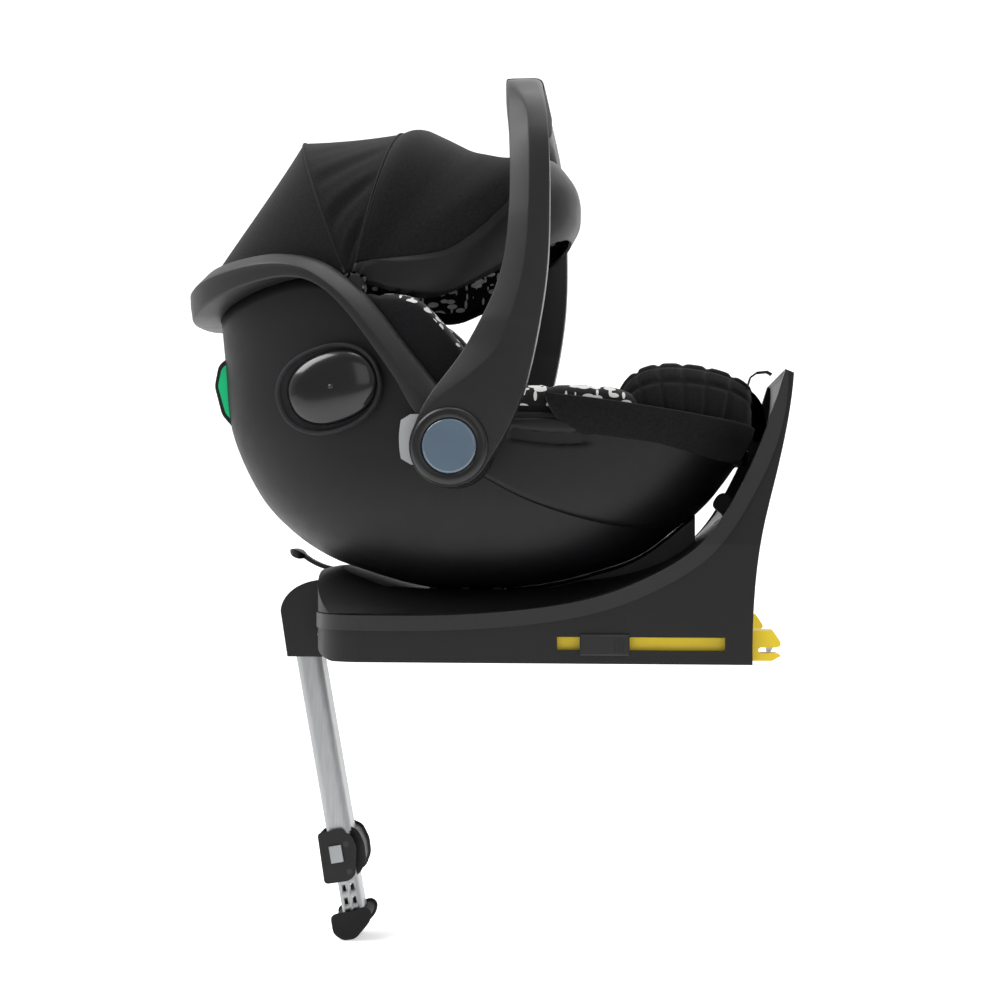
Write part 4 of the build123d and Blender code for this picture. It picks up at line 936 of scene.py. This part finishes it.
def make_foot_flap():
    """The fabric flap that folds over the shell's edge beside the legs and round the foot end."""
    top = Profile([(4, 284), (60, 278), (130, 268), (200, 257), (245, 250)])
    low = Profile([(4, 283), (10, 268), (22, 252), (43, 240), (80, 234), (115, 229), (160, 217), (205, 203),
                   (245, 196)])
    near = side_turns(4, 200, NEAR, 52, 250.0)
    round_end = [near[-1] * (1 - k / 24) for k in range(1, 24)]
    columns = near + round_end + [0.0] + [-turn for turn in reversed(near + round_end)]
    rows = []
    for turn in columns:
        high_z, low_z = height_on_hull(turn, top), height_on_hull(turn, low)
        snug = 0.45 + 0.55 * ease(abs(turn) / 0.7)
        row = [hull_point(turn, high_z - 6, -9.0), hull_point(turn, high_z - 1, -5.0)]
        for k in range(19):
            u = k / 18
            z = high_z + (low_z - high_z) * u
            puff = 5.0 + 3.0 * math.sin(math.pi * min(1.0, u * 1.1)) * min(1.0, (high_z - low_z) / 30)
            puff -= 3.2 * ease((u - 0.9) / 0.1)
            row.append(hull_point(turn, z, snug * (puff + 0.5 * noise.noise(Vector((turn * 4, z / 30, 0))))))
        rows.append(row)
    points, faces = grid(rows)
    flap = mesh_object("foot_flap", points, faces, MATERIALS["canopy_fabric"], "carrier")
    subdivide(flap)
    modify(flap, "SOLIDIFY", thickness=0.0018, offset=-1)


# ---------------- pods
POD_X, POD_Z, POD_TILT = -221.0, 288.0, math.radians(20.0)
POD_FACE = 180.3
OVAL_SIDES = 72
# share of the oval's radii and height over its bed, from the edge to the middle
RING_PROFILE = [(1.0, -6.0), (1.0, 3.0), (0.985, 5.0), (0.955, 5.7), (0.92, 5.2), (0.90, 3.8), (0.885, 0.0),
                (0.5, -0.2), (0.02, -0.2)]
DOME_PROFILE = [(0.96, 0.0), (1.0, 1.0), (0.995, 3.0), (0.97, 6.0), (0.91, 9.2), (0.81, 12.2), (0.66, 14.8),
                (0.45, 16.6), (0.22, 17.6), (0.02, 17.8)]


def oval_relief(name, long, short, shift, profile, side, material, body):
    """A raised oval shape on the side of the carrier, from its profile."""
    rings = []
    for share, out in profile:
        ring = []
        for turn in turns(OVAL_SIDES):
            u = long * share * math.copysign(abs(math.cos(turn)) ** 0.9, math.cos(turn)) + shift
            v = short * share * math.copysign(abs(math.sin(turn)) ** 0.9, math.sin(turn))
            ring.append((POD_X + u * math.cos(POD_TILT) - v * math.sin(POD_TILT), side * (POD_FACE + out),
                         POD_Z + u * math.sin(POD_TILT) + v * math.cos(POD_TILT)))
        rings.append(ring)
    shape = sweep(name, rings, material, body, turned=side == NEAR)
    subdivide(shape, 2)
    return shape


def make_pods():
    """The foam ring and the glossy hinged dome of each side pod."""
    for name, side in SIDES.items():
        ring = oval_relief("pod_ring_" + name, 57, 46, 0, RING_PROFILE, side, MATERIALS["foam"], "carrier")
        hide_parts("pod_bezel_" + name)
        dome = oval_relief("pod_dome_" + name, 49.5, 38, 5, DOME_PROFILE, side, MATERIALS["pod_gloss"],
                           "pod_" + name)
        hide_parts("pod_cover_" + name)


# ---------------- guide, leg and cradle
GUIDE_HALF = 62.0
GUIDE_OUT = [(-330, 334), (-354, 333), (-367, 323), (-371.5, 300), (-363, 268), (-347, 250), (-330, 247)]
GUIDE_IN = [(-330, 328), (-353, 328), (-363.5, 319), (-367.5, 300), (-359, 270), (-345, 255.5), (-330, 254)]
CLAMP_BLOCK = [(-260, -209), (-237, -204), (-224, -211), (-219, -222), (-220, -253), (-227, -259),
               (-252, -263)]
CLAMP_CAM = [(-257, -207), (-234, -201), (-220, -207), (-213, -221), (-211, -237), (-216, -251), (-226, -259),
             (-250, -262)]
CLAMP_SCREWS = [(-229, -219), (-225, -250)]
SCREW_HALF = 3
# where the clamp's block and cam, its screws and the foot begin and end across
BLOCK_SPAN, CAM_SPAN, SCREW_SPAN, FOOT_SPAN = (-26.0, -10.0), (-12.0, 26.0), (-26.3, -20.0), (-24.0, 24.0)
FOOT_SIDE = [(-244, -303), (-241, -320), (-232, -326), (-220, -324), (-205, -306), (-203, -297), (-208, -293),
             (-221, -299), (-232, -300)]
LEG_TOP_X, LEG_TOP_Z = -274.5, -6.0
LEG_TILT = math.radians(10.0)
TUBE_DEEP, TUBE_WIDE, TUBE_CORNER = 12.3, 17.8, 6.5
HOLE_X, HOLE_Z = (2.8, 7.2), 3.8
HOLES = [-298 + 15 * k for k in range(7)]
TUBE_ENDS = (-307.0, -196.0)
CRADLE_FROM, CRADLE_LONG, CRADLE_STEPS = -120, 285, 40
# across, and up from the hull's underside
CRADLE_SECTION = [(-56, -30), (-56, -4), (-46, -1.5), (46, -1.5), (56, -4), (56, -30)]


def slab(name, outline, y0, y1, radius, material, body, soften=0.0012):
    """A side-view outline drawn across, with rounded corners and softened edges."""
    ring = rounded(outline, [radius] * len(outline), 6)
    piece = sweep(name, [[(p[0], y, p[1]) for p in ring] for y in (y0, y1)], material, body, smooth=False)
    modify(piece, "BEVEL", width=soften, segments=3, limit_method="ANGLE", angle_limit=math.radians(50))
    return piece


def make_belt_guide():
    """The hook behind the shell for the vehicle's belt, filled by its coloured liner."""
    hook = slab("belt_hook_edge", GUIDE_OUT, -GUIDE_HALF + 0.6, GUIDE_HALF - 0.6, 5.0,
                MATERIALS["shell_plastic"], "carrier")
    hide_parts("belt_guide_hook")
    liner = slab("belt_hook_liner", GUIDE_IN, -GUIDE_HALF, GUIDE_HALF, 4.0, MATERIALS["guide_green"],
                 "carrier")
    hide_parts("belt_guide_liner")


def leg_point(x, y, z):
    """A point of the leg's own frame, whose Z runs up along the tube."""
    c, s = math.cos(LEG_TILT), math.sin(LEG_TILT)
    return LEG_TOP_X + x * c - z * s, y, LEG_TOP_Z + x * s + z * c


def make_leg_fittings():
    """The clamp, the holed inner tube and the foot."""
    clamp = slab("leg_clamp_block", CLAMP_BLOCK, *BLOCK_SPAN, 3.0, MATERIALS["base_plastic"], "leg", 0.002)
    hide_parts("leg_clamp")
    cam = slab("leg_clamp_cam", CLAMP_CAM, *CAM_SPAN, 4.0, MATERIALS["base_plastic"], "leg", 0.004)
    for k, (x, z) in enumerate(CLAMP_SCREWS):
        square = [(x + SCREW_HALF * i, z + SCREW_HALF * j) for i, j in ((-1, -1), (1, -1), (1, 1), (-1, 1))]
        screw = slab(f"leg_clamp_screw_{k + 1}", square, *SCREW_SPAN, 2.9, MATERIALS["hub_black"], "leg",
                     0.0002)
    flat = [-HOLE_X[1], -HOLE_X[0], 0.0, HOLE_X[0], HOLE_X[1]]
    near = []
    for x in flat:
        past = max(0.0, abs(x) - (TUBE_DEEP - TUBE_CORNER))
        near.append((x, -TUBE_WIDE + TUBE_CORNER - math.sqrt(TUBE_CORNER ** 2 - past ** 2)))
    turn = [(TUBE_DEEP - TUBE_CORNER + TUBE_CORNER * math.sin(a),
             -TUBE_WIDE + TUBE_CORNER - TUBE_CORNER * math.cos(a))
            for a in map(math.radians, (25, 45, 65, 90))]
    half = near + turn
    section = half + [(x, -y) for x, y in reversed(half)] + [(-x, -y) for x, y in turn] + [
        (-x, y) for x, y in reversed(turn)]
    levels = sorted([*TUBE_ENDS] + [c + s * HOLE_Z for c in HOLES for s in (-1, 1)])
    points, faces = grid([[leg_point(x, y, z) for x, y in section] for z in levels], wrap_columns=True)
    wide = len(section)
    far = len(half) * 2 - len(flat)
    open_columns = {0, 3, far, far + 3}
    kept = []
    for index, face in enumerate(faces):
        row, column = divmod(index, wide)
        if not (row % 2 == 1 and column in open_columns):
            kept.append(face)
    tube_piece = mesh_object("leg_tube_holed", points, kept, MATERIALS["tube_aluminium"], "leg_lower")
    tube_piece.data.set_sharp_from_angle(angle=math.radians(50))
    modify(tube_piece, "SOLIDIFY", thickness=0.002, offset=-1)
    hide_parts("leg_inner_tube")
    foot = slab("leg_foot_pad", FOOT_SIDE, *FOOT_SPAN, 4.0, MATERIALS["grip_rubber"], "leg_lower", 0.004)
    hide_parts("leg_foot")


def make_cradle():
    """The base's dark saddle that closes the gap under the carrier."""
    rows = []
    for i in range(CRADLE_STEPS + 1):
        x = CRADLE_FROM + CRADLE_LONG * i / CRADLE_STEPS
        z = HULL_BOTTOM
        while HULL_X + HULL_LINES[1]((z - HULL_BOTTOM) / HULL_HEIGHT) * HULL_FRONT < x:
            z += 0.5
        rows.append([(x, y, z + up) for y, up in CRADLE_SECTION])
    saddle = sweep("cradle_saddle", rows, MATERIALS["base_plastic"], "base")
    saddle.data.set_sharp_from_angle(angle=math.radians(40))


# ---------------- stage
# in the frame's metres: the floor's half sizes and the rise of its far end
FLOOR_HALF_X, FLOOR_HALF_Y, FLOOR_RISE, FLOOR_STEPS = 6.0, 4.0, 3.2, 40
LIGHT_TARGET = Vector((-0.25, 0, 0.25))
# name, place, size and power
LIGHTS = [("key", (-1.7, -0.5, 1.9), 1.3, 36), ("top", (0.2, 0.2, 2.2), 1.6, 26),
          ("front", (0.8, -2.4, 1.2), 1.6, 7), ("back", (0.6, 2.0, 1.2), 2.2, 8)]
# the sky's strength rises with the height that a ray looks at
SKY = {"From Min": -0.6, "From Max": 0.4, "To Min": 0.32, "To Max": 1.05}
CAMERA_PLACE = (110, -2000, 160)
CAMERA_TURN = (90.35, 0, 4.73)
CAMERA_LENS = 63.1


def make_stage():
    """A pale floor that rises behind the seat, soft lights and the camera."""
    floor_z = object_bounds()[0][2] - 0.0005
    rows = []
    for k in range(FLOOR_STEPS + 1):
        u = k / FLOOR_STEPS
        y = -FLOOR_HALF_Y + 2 * FLOOR_HALF_Y * u
        rise = FLOOR_RISE * ease((u - 0.78) / 0.22)
        rows.append([(x, y, floor_z + rise) for x in (-FLOOR_HALF_X, FLOOR_HALF_X)])
    mesh = bpy.data.meshes.new("studio_floor")
    points, faces = grid(rows)
    mesh.from_pydata(points, [], faces)
    floor = bpy.data.objects.new("studio_floor", mesh)
    bpy.context.collection.objects.link(floor)
    for face in mesh.polygons:
        face.use_smooth = True
    look = Look("studio_floor_look", (0.9, 0.9, 0.9), 0.9, Emission_Strength=0.45)
    look.shader.inputs["Emission Color"].default_value = (1, 1, 1, 1)
    mesh.materials.append(look.material)
    world = bpy.data.worlds.new("studio")
    bpy.context.scene.world = world
    bpy.context.scene.view_settings.view_transform = "Standard"
    world.use_nodes = True
    nodes, links = world.node_tree.nodes, world.node_tree.links
    place = nodes.new("ShaderNodeTexCoord")
    split = nodes.new("ShaderNodeSeparateXYZ")
    spread = nodes.new("ShaderNodeMapRange")
    for key, value in SKY.items():
        spread.inputs[key].default_value = value
    links.new(place.outputs["Generated"], split.inputs["Vector"])
    links.new(split.outputs["Y"], spread.inputs["Value"])
    links.new(spread.outputs["Result"], nodes["Background"].inputs["Strength"])
    nodes["Background"].inputs["Color"].default_value = (1, 1, 1, 1)
    for name, place, size, power in LIGHTS:
        light = bpy.data.lights.new(name, "AREA")
        light.size, light.energy = size, power
        obj = bpy.data.objects.new(name, light)
        obj.location = place
        obj.rotation_euler = (LIGHT_TARGET - Vector(place)).to_track_quat("-Z", "Y").to_euler()
        bpy.context.collection.objects.link(obj)
    camera = bpy.data.cameras.new("camera")
    camera.lens = CAMERA_LENS
    camera.clip_end = 30
    obj = bpy.data.objects.new("camera", camera)
    obj.location = at(*CAMERA_PLACE)
    obj.rotation_euler = [math.radians(turn) for turn in CAMERA_TURN]
    bpy.context.collection.objects.link(obj)
    bpy.context.scene.camera = obj


dress_frame()
make_shell()
make_rim()
for side_name, side_sign in SIDES.items():
    panel = make_side_cover("side_cover_" + side_name, side_sign)
    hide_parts("side_panel_" + side_name)
make_foot_flap()
make_belt_guide()
make_leg_fittings()
make_cradle()
make_handle()
make_hub_rings()
make_canopy()
make_foot_cushion()
make_seat_pads()
make_liner()
make_pods()
make_stage()
